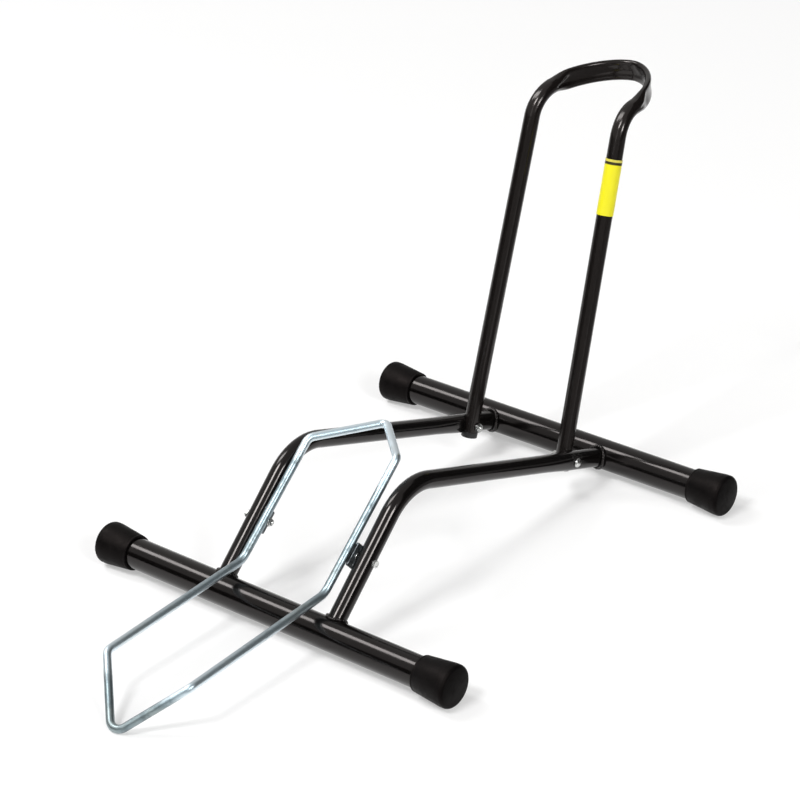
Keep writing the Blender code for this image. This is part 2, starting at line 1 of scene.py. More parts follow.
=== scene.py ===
"""Dressed model of a floor stand for one bicycle wheel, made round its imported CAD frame.

Metres, +Z up, +Y from the cradle's tip towards the hoop, +X to the right. Each sub-assembly is a
class: its fields are sizes, and its methods make its pieces and give them their finishes.
"""

from __future__ import annotations

import logging
import math
from collections.abc import Sequence
from dataclasses import dataclass, field
from enum import Enum

import bmesh
import bpy
from mathutils import Matrix, Vector

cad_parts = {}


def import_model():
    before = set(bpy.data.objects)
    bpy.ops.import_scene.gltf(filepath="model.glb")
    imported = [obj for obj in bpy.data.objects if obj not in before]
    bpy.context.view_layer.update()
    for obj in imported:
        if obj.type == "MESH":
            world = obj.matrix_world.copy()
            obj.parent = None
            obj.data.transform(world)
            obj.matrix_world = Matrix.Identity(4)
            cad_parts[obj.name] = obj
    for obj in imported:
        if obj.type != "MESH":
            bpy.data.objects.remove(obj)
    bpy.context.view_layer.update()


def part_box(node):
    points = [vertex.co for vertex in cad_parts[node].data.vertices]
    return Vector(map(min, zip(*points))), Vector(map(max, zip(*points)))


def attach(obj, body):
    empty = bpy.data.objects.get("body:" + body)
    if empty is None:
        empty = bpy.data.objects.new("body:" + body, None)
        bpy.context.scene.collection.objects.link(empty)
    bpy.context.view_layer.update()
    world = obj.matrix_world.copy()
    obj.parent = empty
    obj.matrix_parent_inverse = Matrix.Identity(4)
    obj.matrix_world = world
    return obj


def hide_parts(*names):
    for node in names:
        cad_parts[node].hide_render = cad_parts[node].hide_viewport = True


log = logging.getLogger("wheel_stand")

GRAIN = "grain"
WEAR = "wear"
QUARTER = math.pi / 2
ACROSS = Vector((1, 0, 0))

Section = list[tuple[float, float]]
Pair = tuple[float, float]
Colour = tuple[float, float, float, float]
Mesh = bpy.types.Mesh
Node = bpy.types.Node
Socket = bpy.types.NodeSocket


class Body(Enum):
    """The CAD bodies that pieces ride on."""

    STAND = "stand"
    CRADLE = "cradle"


class Slot(Enum):
    """The material slots."""

    GLOSS = "black_gloss"
    RUBBER = "black_rubber"
    PLASTIC = "black_plastic"
    ZINC = "zinc"
    YELLOW = "yellow_label"


class Side(Enum):
    """A side of the stand, and its sign along X."""

    LEFT = -1
    RIGHT = 1

    @property
    def word(self) -> str:
        """The side's name as the CAD nodes spell it."""
        return self.name.lower()

    def out(self, distance: float) -> Vector:
        """A step out from the middle plane."""
        return Vector((self.value * distance, 0, 0))

    def mount(self, centre: Vector, distance: float, inward: bool = False) -> Matrix:
        """A frame at a distance from the middle plane, whose +Z points out, or in."""
        turn = Matrix.Rotation((-self.value if inward else self.value) * QUARTER, 4, "Y")
        return Matrix.Translation(centre + self.out(distance)) @ turn


class End(Enum):
    """An end of the stand."""

    FRONT = "front"
    REAR = "rear"


# ---------------------------------------------------------------- places


def heading(angle: float) -> Vector:
    """The unit direction in the side view at an angle above +Y."""
    return Vector((0.0, math.cos(angle), math.sin(angle)))


@dataclass(frozen=True)
class Plan:
    """Places that several sub-assemblies share.

    Places in a side view are given behind and above the front base tube's axis.
    """

    axis_y: float
    axis_z: float
    gap: float = 0.0003
    tube_radius: float = 0.0190
    base_spacing: float = 0.5268
    arm_radius: float = 0.0110
    arm_peak_back: float = 0.1427
    arm_peak_up: float = 0.1328
    arm_end_drop: float = 0.0024
    arm_end_half_height: float = 0.0122
    arm_pinch: float = 0.0113
    leg_radius: float = 0.0100
    hoop_reach: float = 0.0755
    leg_lean: float = math.radians(18.45)
    leg_splay: float = math.radians(1.13)
    wire_radius: float = 0.0050
    cradle_inner_half: float = 0.0587
    cradle_slope: float = math.radians(40.6)
    pivot_reach: float = 0.0942
    pivot_to_wire: float = 0.0121
    plate_thickness: float = 0.0030
    spacer_thickness: float = 0.0014

    def point(self, back: float, up: float) -> Vector:
        """A point from its place behind and above the front base tube's axis."""
        return Vector((0.0, self.axis_y + back, self.axis_z + up))

    def tube_axis(self, end: End) -> Vector:
        """The middle of a base tube's axis."""
        return self.point(0.0 if end is End.FRONT else self.base_spacing, 0)

    @property
    def rail_x(self) -> float:
        """How far out the cradle's side wires run."""
        return self.cradle_inner_half + self.wire_radius

    @property
    def plate_x(self) -> float:
        """The pivot plates' inner face."""
        return self.rail_x + self.wire_radius + self.gap

    @property
    def spacer_x(self) -> float:
        """The pivot spacers' inner face."""
        return self.plate_x + self.plate_thickness + self.gap

    @property
    def arm_x(self) -> float:
        """The arms' axes."""
        return self.spacer_x + self.spacer_thickness + self.gap + self.arm_radius

    @property
    def arm_end_half_width(self) -> float:
        """Half the width of the arm where it is pressed for the hoop."""
        return 2 * self.arm_radius - self.arm_end_half_height

    @property
    def leg_x(self) -> float:
        """The legs' axes at the hoop's bolts."""
        return self.arm_x + self.arm_end_half_width - self.arm_pinch - self.gap - self.leg_radius

    @property
    def rise(self) -> float:
        """The angle at which the arms rise."""
        return math.atan2(self.arm_peak_up, self.arm_peak_back)

    @property
    def fall(self) -> float:
        """The angle at which the arms fall to the rear base tube."""
        return math.atan2(
            self.arm_peak_up + self.arm_end_drop, self.base_spacing - self.arm_peak_back
        )

    @property
    def pivot(self) -> Vector:
        """The cradle's pivot on the middle plane."""
        return self.point(0, 0) + heading(self.rise) * self.pivot_reach

    @property
    def arm_end(self) -> Vector:
        """Where the arms' axes end, on the middle plane."""
        return self.point(self.base_spacing, -self.arm_end_drop)

    @property
    def hoop_bolt(self) -> Vector:
        """The hoop's bolts on the middle plane."""
        return self.arm_end + heading(math.pi - self.fall) * self.hoop_reach

    def arm_foot(self, end: End) -> Vector:
        """Where the arms' axes meet a base tube, on the middle plane."""
        return self.point(0, 0) if end is End.FRONT else self.arm_end

    def meeting(self, end: End, out: Vector, up: Vector, offset: float, grow: float) -> float:
        """How far along an arm a line of its skin meets a base tube's skin.

        Args:
            end: The base tube.
            out: The arm's direction away from it.
            up: A direction square to that in the side view.
            offset: How far the line runs from the arm's axis in that direction.
            grow: How far outside the base tube's skin the line stops.

        Returns:
            The distance from the arm's foot.
        """
        tube = self.tube_axis(end) - self.arm_foot(end)
        high = offset - tube.dot(up)
        return tube.dot(out) + math.sqrt((self.tube_radius + grow) ** 2 - high**2)

    def leg_axis(self, side: Side) -> Vector:
        """A leg's upward direction: it leans back and in."""
        lean = heading(QUARTER - self.leg_lean) * math.cos(self.leg_splay)
        return (lean - side.out(math.sin(self.leg_splay))).normalized()

    def leg_bolt(self, side: Side) -> Vector:
        """Where a leg's axis crosses the hoop's bolts."""
        return self.hoop_bolt + side.out(self.leg_x)

    def leg_frame(self, side: Side) -> Matrix:
        """A leg's frame: the bolt is its origin, and +Z runs up the leg."""
        turn = self.leg_axis(side).to_track_quat("Z", "Y").to_matrix().to_4x4()
        return Matrix.Translation(self.leg_bolt(side)) @ turn


def mirrored(point: Vector) -> Vector:
    """The same point on the other side of the stand."""
    return Vector((-point.x, point.y, point.z))


def ease(value: float) -> float:
    """Zero to one with level ends."""
    value = min(max(value, 0.0), 1.0)
    return value * value * (3 - 2 * value)


# ---------------------------------------------------------------- mesh making


@dataclass
class Ring:
    """One ring of a skin.

    Args:
        points: The ring's points, or one point for a pole.
        section: Each point's place across the piece, for finishes that follow the piece.
        run: How far along the piece the ring is.
        wear: How exposed the ring is to rubbing, from 0 to 1.
    """

    points: list[Vector]
    section: Section
    run: float
    wear: float = 0.0


def stadium(half_up: float, half_across: float, sides: int) -> Section:
    """Offsets (up, across) spread evenly round a circle or a stadium.

    Args:
        half_up: Half its height.
        half_across: Half its width.
        sides: How many points, a multiple of four.

    Returns:
        The offsets, from the middle of the +across side towards +up.
    """
    small = min(half_up, half_across)
    rise, reach, arc = half_up - small, half_across - small, QUARTER * small
    quarter, steps = rise + arc + reach, sides // 4
    section = []
    for k in range(sides):
        turn, step = divmod(k, steps)
        run = quarter * step / steps
        if turn % 2:
            run = quarter - run
        if run < rise:
            up, across = run, half_across
        elif run < rise + arc:
            angle = (run - rise) / small
            up, across = rise + small * math.sin(angle), reach + small * math.cos(angle)
        else:
            up, across = half_up, reach - (run - rise - arc)
        section.append((up if turn < 2 else -up, across if turn in (0, 3) else -across))
    return section


def circle(radius: float, sides: int) -> Section:
    """Offsets spread evenly round a circle.

    Args:
        radius: Its radius.
        sides: How many points.

    Returns:
        The offsets, or one in the middle where the radius is 0.
    """
    if radius < 1e-7:
        return [(0.0, 0.0)]
    angles = [2 * math.pi * k / sides for k in range(sides)]
    return [(radius * math.cos(a), radius * math.sin(a)) for a in angles]


def level(place: Matrix, section: Section, height: float, run: float, wear: float = 0.0) -> Ring:
    """A ring at one height in a piece's own frame."""
    return Ring([place @ Vector((u, v, height)) for u, v in section], section, run, wear)


def placed(section: Section, centre: Vector, up: Vector, across: Vector) -> list[Vector]:
    """A section's points round a centre, in two directions."""
    return [centre + up * u + across * v for u, v in section]


def bridge(bm: bmesh.types.BMesh, low: list, high: list) -> None:
    """Lays faces between two rows of vertices.

    Args:
        bm: Where they go.
        low: A row, or a single pole.
        high: The next row, or a single pole.
    """
    count = max(len(low), len(high))
    for k in range(count):
        m = (k + 1) % count
        if len(low) == 1:
            bm.faces.new((low[0], high[m], high[k]))
        elif len(high) == 1:
            bm.faces.new((low[k], low[m], high[0]))
        else:
            bm.faces.new((low[k], low[m], high[m], high[k]))


def skin(rings: Sequence[Ring], name: str, loop: bool = False, sharp: float = 0.6) -> Mesh:
    """A closed mesh over rings.

    Args:
        rings: The rings in order.
        name: The mesh's name.
        loop: Whether the last ring joins the first; otherwise both ends are capped.
        sharp: The angle, in radians, past which an edge stays sharp.

    Returns:
        The mesh, with each point's place across and along the piece in its grain attribute.
    """
    bm = bmesh.new()
    grain = bm.verts.layers.float_vector.new(GRAIN)
    wear = bm.verts.layers.float.new(WEAR)
    rows = []
    for ring in rings:
        row = []
        for point, (u, v) in zip(ring.points, ring.section):
            vertex = bm.verts.new(point)
            vertex[grain] = (u, v, ring.run)
            vertex[wear] = ring.wear
            row.append(vertex)
        rows.append(row)
    for low, high in zip(rows, rows[1:]):
        bridge(bm, low, high)
    if loop:
        bridge(bm, rows[-1], rows[0])
    else:
        for row in (rows[0], rows[-1]):
            if len(row) > 2:
                bm.faces.new(row)
    bmesh.ops.recalc_face_normals(bm, faces=bm.faces)
    return smoothed(bm, name, sharp)


def smoothed(bm: bmesh.types.BMesh, name: str, sharp: float = 0.6) -> Mesh:
    """Turns a bmesh into a smooth mesh whose steep edges stay sharp.

    Args:
        bm: The bmesh, which is freed.
        name: The mesh's name.
        sharp: The angle, in radians, past which an edge stays sharp.

    Returns:
        The mesh.
    """
    mesh = bpy.data.meshes.new(name)
    bm.to_mesh(mesh)
    bm.free()
    mesh.shade_smooth()
    mesh.set_sharp_from_angle(angle=sharp)
    return mesh


def joined(name: str, meshes: Sequence[Mesh], sharp: float = 0.6) -> Mesh:
    """Makes one mesh of several.

    Args:
        name: Its name.
        meshes: The meshes, which are removed.
        sharp: The angle, in radians, past which an edge stays sharp.

    Returns:
        The mesh.
    """
    bm = bmesh.new()
    for mesh in meshes:
        bm.from_mesh(mesh)
        bpy.data.meshes.remove(mesh)
    return smoothed(bm, name, sharp)


def rounded(
    corners: Sequence[Vector], radii: Sequence[float], steps: int, loop: bool
) -> list[Vector]:
    """A path with each corner replaced by an arc.

    Args:
        corners: The path's corners.
        radii: Each corner's radius; 0 leaves the corner as it is.
        steps: Pieces in each arc.
        loop: Whether the path closes on itself.

    Returns:
        The path's points.
    """
    path = []
    count = len(corners)
    for i, (corner, radius) in enumerate(zip(corners, radii)):
        if radius <= 0 or (not loop and i in (0, count - 1)):
            path.append(corner.copy())
            continue
        before = (corners[i - 1] - corner).normalized()
        after = (corners[(i + 1) % count] - corner).normalized()
        half = before.angle(after) / 2
        centre = corner + (before + after).normalized() * radius / math.sin(half)
        start = corner + before * radius / math.tan(half) - centre
        turn = start.angle(corner + after * radius / math.tan(half) - centre)
        axis = before.cross(after)
        for k in range(steps + 1):
            path.append(centre + Matrix.Rotation(-turn * k / steps, 3, axis) @ start)
    return path


@dataclass(frozen=True)
class Corner:
    """A corner of a turned profile: radius from the axis, height, rounding and wear."""

    radius: float
    height: float
    rounding: float = 0.0
    wear: float = 0.0


def turned(
    name: str,
    profile: Sequence[Corner],
    place: Matrix,
    sides: int = 64,
    ring: bool = False,
    steps: int = 6,
    sharp: float = 0.6,
) -> Mesh:
    """A turned solid.

    Args:
        name: The mesh's name.
        profile: The profile's corners. A solid's first and last lie on the axis.
        place: Where it goes, from its own frame, in which the axis is +Z.
        sides: Facets round it.
        ring: Whether the profile closes on itself, as a washer's does.
        steps: Pieces in each rounded corner.
        sharp: The angle past which an edge stays sharp.

    Returns:
        The mesh.
    """
    points: list[tuple[float, float, float]] = []
    flat = [Vector((c.radius, 0.0, c.height)) for c in profile]
    for i, corner in enumerate(profile):
        if corner.rounding > 0:
            near = [flat[i - 1], flat[i], flat[(i + 1) % len(flat)]]
            arc = rounded(near, [0.0, corner.rounding, 0.0], steps, False)[1:-1]
            points += [(p.x, p.z, corner.wear) for p in arc]
        else:
            points.append((corner.radius, corner.height, corner.wear))
    rings, run = [], 0.0
    for i, (radius, height, wear) in enumerate(points):
        if i:
            run += math.hypot(radius - points[i - 1][0], height - points[i - 1][1])
        rings.append(level(place, circle(radius, sides), height, run, wear))
    return skin(rings, name, loop=ring, sharp=sharp)


# ---------------------------------------------------------------- node trees


class Nodes:
    """A node tree under construction."""

    def __init__(self, tree: bpy.types.NodeTree) -> None:
        """Takes over a tree."""
        self.tree = tree

    def feed(self, target: Socket, value: object) -> None:
        """Feeds an input.

        Args:
            target: The input.
            value: A socket to link to it, or the value to set.
        """
        if isinstance(value, Socket):
            self.tree.links.new(value, target)
        else:
            target.default_value = value

    def put(self, kind: str, feeds: dict | None = None, **settings: object) -> Node:
        """Adds a node.

        Args:
            kind: The node's type.
            feeds: Values or sockets for its inputs, by name or number.
            settings: Its properties.

        Returns:
            The node.
        """
        node = self.tree.nodes.new(kind)
        for key, value in settings.items():
            setattr(node, key, value)
        for key, value in (feeds or {}).items():
            self.feed(node.inputs[key], value)
        return node

    def maths(self, operation: str, first: object, second: object, clamp: bool = False) -> Socket:
        """Works out one operation on two sockets or numbers."""
        feeds = {0: first, 1: second}
        return self.put("ShaderNodeMath", feeds, operation=operation, use_clamp=clamp).outputs[0]

    def times(self, first: object, second: object) -> Socket:
        """The product of two sockets or numbers."""
        return self.maths("MULTIPLY", first, second)

    def sum(self, first: object, *others: object) -> Socket:
        """The sum of sockets or numbers."""
        for other in others:
            first = self.maths("ADD", first, other)
        return first

    def part(self, vector: Socket, index: int) -> Socket:
        """One coordinate of a vector."""
        return self.put("ShaderNodeSeparateXYZ", {0: vector}).outputs[index]

    def noise(
        self, place: Socket, scale: object, detail: float, roughness: float = 0.5
    ) -> Socket:
        """Noise at a place."""
        feeds = {"Vector": place, "Scale": scale, "Detail": detail, "Roughness": roughness}
        return self.put("ShaderNodeTexNoise", feeds).outputs[0]

    def step(self, value: Socket, start: object, stop: object, top: float = 1.0) -> Socket:
        """Goes smoothly from 0 to a top level while a value goes from start to stop."""
        feeds = {"Value": value, "From Min": start, "From Max": stop, "To Max": top}
        return self.put("ShaderNodeMapRange", feeds, interpolation_type="SMOOTHSTEP").outputs[0]

    def take(self, name: str, kind: str, value: float | None = None) -> str:
        """Gives the tree a named input.

        Args:
            name: The input's name.
            kind: Its type, as in NodeSocketFloat.
            value: Its default, or None to leave it.

        Returns:
            Its identifier.
        """
        item = self.tree.interface.new_socket(
            name=name, in_out="INPUT", socket_type=f"NodeSocket{kind}"
        )
        if value is not None:
            item.default_value = value
        return item.identifier

    def give(self, name: str, kind: str) -> None:
        """Gives the tree a named output."""
        self.tree.interface.new_socket(
            name=name, in_out="OUTPUT", socket_type=f"NodeSocket{kind}"
        )


class Recipe(Nodes):
    """A Geometry Nodes tree with named inputs, and the call that makes its result real."""

    def __init__(self, name: str, **takes: str) -> None:
        """Starts a tree.

        Args:
            name: Its name.
            takes: The type of each input besides the path and the finish.
        """
        super().__init__(bpy.data.node_groups.new(name, "GeometryNodeTree"))
        self.identifiers = {"Path": self.take("Path", "Geometry")}
        self.give("Mesh", "Geometry")
        for label, kind in {**takes, "Finish": "Material"}.items():
            self.identifiers[label] = self.take(label, kind)
        self.given = self.put("NodeGroupInput").outputs
        self.end = self.put("NodeGroupOutput")

    def line(self) -> Socket:
        """The path as a curve."""
        return self.put("GeometryNodeMeshToCurve", {"Mesh": self.given["Path"]}).outputs["Curve"]

    def profile(self, sides: object, radius: Socket) -> Socket:
        """A circle to sweep along a curve."""
        feeds = {"Resolution": sides, "Radius": radius}
        return self.put("GeometryNodeCurvePrimitiveCircle", feeds, mode="RADIUS").outputs["Curve"]

    def swept(self, curve: Socket, profile: Socket) -> Socket:
        """A profile swept along a curve, with closed ends."""
        feeds = {"Curve": curve, "Profile Curve": profile, "Fill Caps": True}
        return self.put("GeometryNodeCurveToMesh", feeds).outputs["Mesh"]

    def kept(self, curve: Socket, kind: str, name: str, value: Socket) -> Node:
        """Stores a value on each point of a curve, for use after the sweep.

        Args:
            curve: The curve.
            kind: The value's type.
            name: Its name.
            value: The value.

        Returns:
            The node, whose outputs are the curve and the value.
        """
        node = self.put("GeometryNodeCaptureAttribute", domain="POINT")
        node.capture_items.new(kind, name)
        self.feed(node.inputs["Geometry"], curve)
        self.feed(node.inputs[name], value)
        return node

    def finish(self, *parts: Socket) -> None:
        """Ends the tree: its parts joined, real, smooth and in the given finish.

        Args:
            parts: What the tree has made.
        """
        geometry = parts[0]
        if len(parts) > 1:
            node = self.put("GeometryNodeJoinGeometry")
            for part in parts:
                self.feed(node.inputs[0], part)
            geometry = node.outputs[0]
        for kind in ("GeometryNodeRealizeInstances", "GeometryNodeSetShadeSmooth"):
            geometry = self.put(kind, {"Geometry": geometry}).outputs[0]
        feeds = {"Geometry": geometry, "Material": self.given["Finish"]}
        dressed = self.put("GeometryNodeSetMaterial", feeds)
        self.feed(self.end.inputs["Mesh"], dressed.outputs[0])

    def make(
        self, name: str, points: Sequence[Vector], loop: bool = False, **values: object
    ) -> Mesh:
        """Runs the tree on a path and turns what it makes into a plain mesh.

        Args:
            name: The mesh's name.
            points: The path.
            loop: Whether the path closes on itself.
            values: The inputs by name.

        Returns:
            The mesh.
        """
        edges = [(i, i + 1) for i in range(len(points) - 1)]
        if loop:
            edges.append((len(points) - 1, 0))
        path = bpy.data.meshes.new(f"{name}_path")
        path.from_pydata([tuple(p) for p in points], edges, [])
        source = bpy.data.objects.new(f"{name}_path", path)
        bpy.context.scene.collection.objects.link(source)
        modifier = source.modifiers.new(self.tree.name, "NODES")
        modifier.node_group = self.tree
        for key, value in values.items():
            modifier[self.identifiers[key]] = value
        graph = bpy.context.evaluated_depsgraph_get()
        mesh = bpy.data.meshes.new_from_object(
            source.evaluated_get(graph), preserve_all_data_layers=True, depsgraph=graph
        )
        mesh.name = name
        bpy.data.objects.remove(source)
        bpy.data.meshes.remove(path)
        return mesh


class WireSweep(Recipe):
    """Sweeps a round bar along a path and marks where each point lies on the bar."""

    def __init__(self) -> None:
        """Builds the tree."""
        super().__init__("Wire sweep", Radius="Float", Sides="Int")
        given = self.given
        run = self.put("GeometryNodeSplineParameter").outputs["Length"]
        marked = self.kept(self.line(), "FLOAT", "Run", run)
        place = self.put("GeometryNodeInputPosition").outputs["Position"]
        section = self.kept(
            self.profile(given["Sides"], given["Radius"]), "VECTOR", "Place", place
        )
        parts = self.put("ShaderNodeSeparateXYZ", {0: section.outputs["Place"]}).outputs
        lie = self.put(
            "ShaderNodeCombineXYZ", {0: parts[0], 1: parts[1], 2: marked.outputs["Run"]}
        )
        bar = self.swept(marked.outputs["Geometry"], section.outputs["Geometry"])
        stored = self.put(
            "GeometryNodeStoreNamedAttribute",
            {"Geometry": bar, "Name": GRAIN, "Value": lie.outputs[0]},
            data_type="FLOAT_VECTOR",
            domain="POINT",
        )
        self.finish(stored.outputs["Geometry"])


class WeldRun(Recipe):
    """Lays a weld along a path: a core with a row of tilted ripples on it."""

    def __init__(self) -> None:
        """Builds the tree."""
        super().__init__("Weld run", Radius="Float", Pitch="Float", Seed="Int")
        given, line = self.given, self.line()
        steps = self.put(
            "GeometryNodeResampleCurve", {"Curve": line, "Length": given["Pitch"]}, mode="LENGTH"
        )
        ball = self.put(
            "GeometryNodeMeshUVSphere", {"Segments": 16, "Rings": 10, "Radius": given["Radius"]}
        )
        ripple = self.put(
            "GeometryNodeTransform", {"Geometry": ball.outputs["Mesh"], "Scale": (1.0, 1.0, 0.62)}
        )
        tangent = self.put("GeometryNodeInputTangent").outputs["Tangent"]
        facing = self.put("FunctionNodeAlignRotationToVector", {"Vector": tangent}, axis="Z")
        size = self.put(
            "FunctionNodeRandomValue", {2: 0.86, 3: 1.06, "Seed": given["Seed"]}, data_type="FLOAT"
        )
        feeds = {
            "Points": steps.outputs["Curve"],
            "Instance": ripple.outputs["Geometry"],
            "Rotation": facing.outputs["Rotation"],
            "Scale": size.outputs[1],
        }
        row = self.put("GeometryNodeInstanceOnPoints", feeds).outputs["Instances"]
        core = self.swept(line, self.profile(14, self.times(given["Radius"], 0.86)))
        self.finish(core, row)


class ThreadRun(Recipe):
    """Cuts a thread: a helical rib on a core, along +Z from the origin."""

    def __init__(self) -> None:
        """Builds the tree."""
        super().__init__("Thread run", Radius="Float", Pitch="Float", Length="Float")
        given = self.given
        depth = self.times(given["Pitch"], 0.52)
        root = self.maths("SUBTRACT", given["Radius"], depth)
        feeds = {
            "Resolution": 32,
            "Rotations": self.maths("DIVIDE", given["Length"], given["Pitch"]),
            "Start Radius": root,
            "End Radius": root,
            "Height": given["Length"],
        }
        helix = self.put("GeometryNodeCurveSpiral", feeds).outputs["Curve"]
        ridge = self.swept(helix, self.profile(4, depth))
        feeds = {"Vertices": 32, "Radius": self.sum(root, 0.00005), "Depth": given["Length"]}
        core = self.put("GeometryNodeMeshCylinder", feeds).outputs["Mesh"]
        lift = self.put("ShaderNodeCombineXYZ", {2: self.times(given["Length"], 0.5)})
        raised = self.put(
            "GeometryNodeTransform", {"Geometry": core, "Translation": lift.outputs[0]}
        )
        self.finish(raised.outputs[0], ridge)


# ---------------------------------------------------------------- finishes


class Effect(Nodes):
    """A shader node group under construction, which gives one mask or height."""

    def __init__(self, name: str, output: str, takes: dict[str, float | None]) -> None:
        """Starts the group.

        Args:
            name: Its name.
            output: Its output's name.
            takes: Each input's default, or None where the input is a place.
        """
        super().__init__(bpy.data.node_groups.new(name, "ShaderNodeTree"))
        for label, value in takes.items():
            self.take(label, "Vector" if value is None else "Float", value)
        self.give(output, "Float")
        self.given = self.put("NodeGroupInput").outputs
        self.end = self.put("NodeGroupOutput").inputs[output]

    def done(self, value: Socket) -> bpy.types.NodeTree:
        """Feeds the group's output and gives the group."""
        self.feed(self.end, value)
        return self.tree


class Effects:
    """The shader node groups that several finishes share."""

    def __init__(self) -> None:
        """Builds each group once."""
        self.cloud = self._cloud()
        self.lines = self._lines()
        self.peel = self._peel()
        self.dust = self._dust()
        self.rubbing = self._rubbing()

    def _cloud(self) -> bpy.types.NodeTree:
        """Soft patches at one size.

        Returns:
            The group.
        """
        takes = {"Place": None, "Per metre": 60.0, "Low": 0.4, "High": 0.6}
        group = Effect("Soft patches", "Mask", takes)
        given = group.given
        noise = group.noise(given["Place"], given["Per metre"], 4.0, 0.6)
        return group.done(group.step(noise, given["Low"], given["High"]))

    def _lines(self) -> bpy.types.NodeTree:
        """Fine lines that run along a drawn tube or wire.

        Returns:
            The group.
        """
        group = Effect("Drawn lines", "Mask", {"Lie": None, "Across": 1400.0, "Stretch": 30.0})
        given = group.given
        feeds = {0: given["Across"], 1: given["Across"], 2: given["Stretch"]}
        feeds = {0: given["Lie"], 1: group.put("ShaderNodeCombineXYZ", feeds).outputs[0]}
        pulled = group.put("ShaderNodeVectorMath", feeds, operation="MULTIPLY").outputs[0]
        return group.done(group.noise(pulled, 1.0, 3.0, 0.6))

    def _peel(self) -> bpy.types.NodeTree:
        """The skin of baked paint: soft ripples and a few specks.

        Returns:
            The group.
        """
        takes = {"Place": None, "Ripples per metre": 420.0, "Specks": 0.4}
        group = Effect("Paint skin", "Height", takes)
        given = group.given
        ripples = group.noise(given["Place"], given["Ripples per metre"], 1.5)
        feeds = {"Vector": given["Place"], "Scale": 260.0, "Randomness": 1.0}
        specks = group.put("ShaderNodeTexVoronoi", feeds, feature="F1").outputs["Distance"]
        near = group.step(specks, 0.1, 0.0)
        return group.done(group.sum(ripples, group.times(near, given["Specks"])))

    def _dust(self) -> bpy.types.NodeTree:
        """Dust on faces that look up, and more of it near the floor.

        Returns:
            The group.
        """
        group = Effect("Settled dust", "Mask", {"Place": None, "Amount": 0.2, "Floor reach": 0.02})
        given = group.given
        normal = group.put("ShaderNodeNewGeometry").outputs["Normal"]
        upward = group.step(group.part(normal, 2), 0.1, 1.0)
        low = group.step(group.part(given["Place"], 2), given["Floor reach"], 0.0)
        grains = group.step(group.noise(given["Place"], 520.0, 6.0, 0.75), 0.42, 0.75)
        settled = group.times(group.maths("MAXIMUM", upward, low), grains)
        return group.done(group.maths("MULTIPLY", settled, given["Amount"], clamp=True))

    def _rubbing(self) -> bpy.types.NodeTree:
        """Where edges have been rubbed.

        Returns:
            The group.
        """
        group = Effect("Rubbed edges", "Mask", {"Place": None, "Wear": 0.0, "Per metre": 700.0})
        given = group.given
        noise = group.noise(given["Place"], given["Per metre"], 5.0, 0.7)
        broken = group.step(noise, 0.5, 0.62)
        return group.done(group.maths("MULTIPLY", broken, given["Wear"], clamp=True))


class Coat(Nodes):
    """A material under construction, with the coordinates that its nodes read."""

    def __init__(self, name: str, effects: Effects | None = None) -> None:
        """Starts the material.

        Args:
            name: Its name.
            effects: The shared node groups, or None for a plain material without coordinates.
        """
        self.material = bpy.data.materials.new(name)
        self.material.use_nodes = True
        super().__init__(self.material.node_tree)
        self.shader = self.tree.nodes["Principled BSDF"]
        self.effects = effects
        if effects:
            self.place = self.put("ShaderNodeTexCoord").outputs["Object"]
            self.lie = self.put("ShaderNodeAttribute", attribute_name=GRAIN).outputs["Vector"]
            self.wear = self.put("ShaderNodeAttribute", attribute_name=WEAR).outputs["Fac"]

    def spread(self, node: Node, feeds: dict[str, object]) -> Node:
        """Feeds a node's inputs by name, with _ for a space, and gives the node."""
        for key, value in feeds.items():
            self.feed(node.inputs[key.replace("_", " ")], value)
        return node

    def dress(self, **feeds: object) -> None:
        """Feeds the shader's inputs by name, with _ for a space."""
        self.spread(self.shader, feeds)

    def use(self, group: bpy.types.NodeTree, **feeds: object) -> Socket:
        """Places a shared effect and gives its only output."""
        return self.spread(self.put("ShaderNodeGroup", node_tree=group), feeds).outputs[0]

    def patches(self, per_metre: float, low: float, high: float) -> Socket:
        """A mask of soft patches."""
        feeds = {"Per_metre": per_metre, "Low": low, "High": high}
        return self.use(self.effects.cloud, Place=self.place, **feeds)

    def drawn(self, across: float, stretch: float) -> Socket:
        """A mask of lines along the piece."""
        return self.use(self.effects.lines, Lie=self.lie, Across=across, Stretch=stretch)

    def dust(self, amount: float, reach: float = 0.02) -> Socket:
        """A mask of settled dust."""
        return self.use(self.effects.dust, Place=self.place, Amount=amount, Floor_reach=reach)

    def rubbed(self, per_metre: float = 700.0) -> Socket:
        """A mask of rubbed edges."""
        return self.use(
            self.effects.rubbing, Place=self.place, Wear=self.wear, Per_metre=per_metre
        )

    def blend(self, mask: Socket, first: object, second: object) -> Socket:
        """Mixes two colours by a mask, which is 0 for the first and 1 for the second."""
        feeds = {"Factor": mask, 6: first, 7: second}
        return self.put("ShaderNodeMix", feeds, data_type="RGBA").outputs[2]

    def scaled(self, mask: Socket, low: float, high: float) -> Socket:
        """A number that goes from low to high with a mask."""
        feeds = {"Value": mask, "To Min": low, "To Max": high}
        return self.put("ShaderNodeMapRange", feeds).outputs[0]

    def relief(self, depth: float, *heights: Socket) -> None:
        """Feeds the sum of heights to the shader's normal; a height of 1 stands for the depth."""
        feeds = {"Strength": 1.0, "Distance": depth, "Height": self.sum(*heights)}
        self.dress(Normal=self.put("ShaderNodeBump", feeds).outputs[0])


@dataclass(frozen=True)
class Look:
    """A material, and the slot that it comes from."""

    material: bpy.types.Material
    slot: Slot


class Finish:
    """A finish: each kind has its name, its slot and its own way to lay a coat."""

    name: str
    slot: Slot

    def make(self, effects: Effects) -> Look:
        """Builds the material.

        Args:
            effects: The shared node groups.

        Returns:
            The material with its slot.
        """
        coat = Coat(self.name, effects)
        self.lay(coat)
        return Look(coat.material, self.slot)

    def lay(self, coat: Coat) -> None:
        """Feeds a coat's shader."""
        raise NotImplementedError


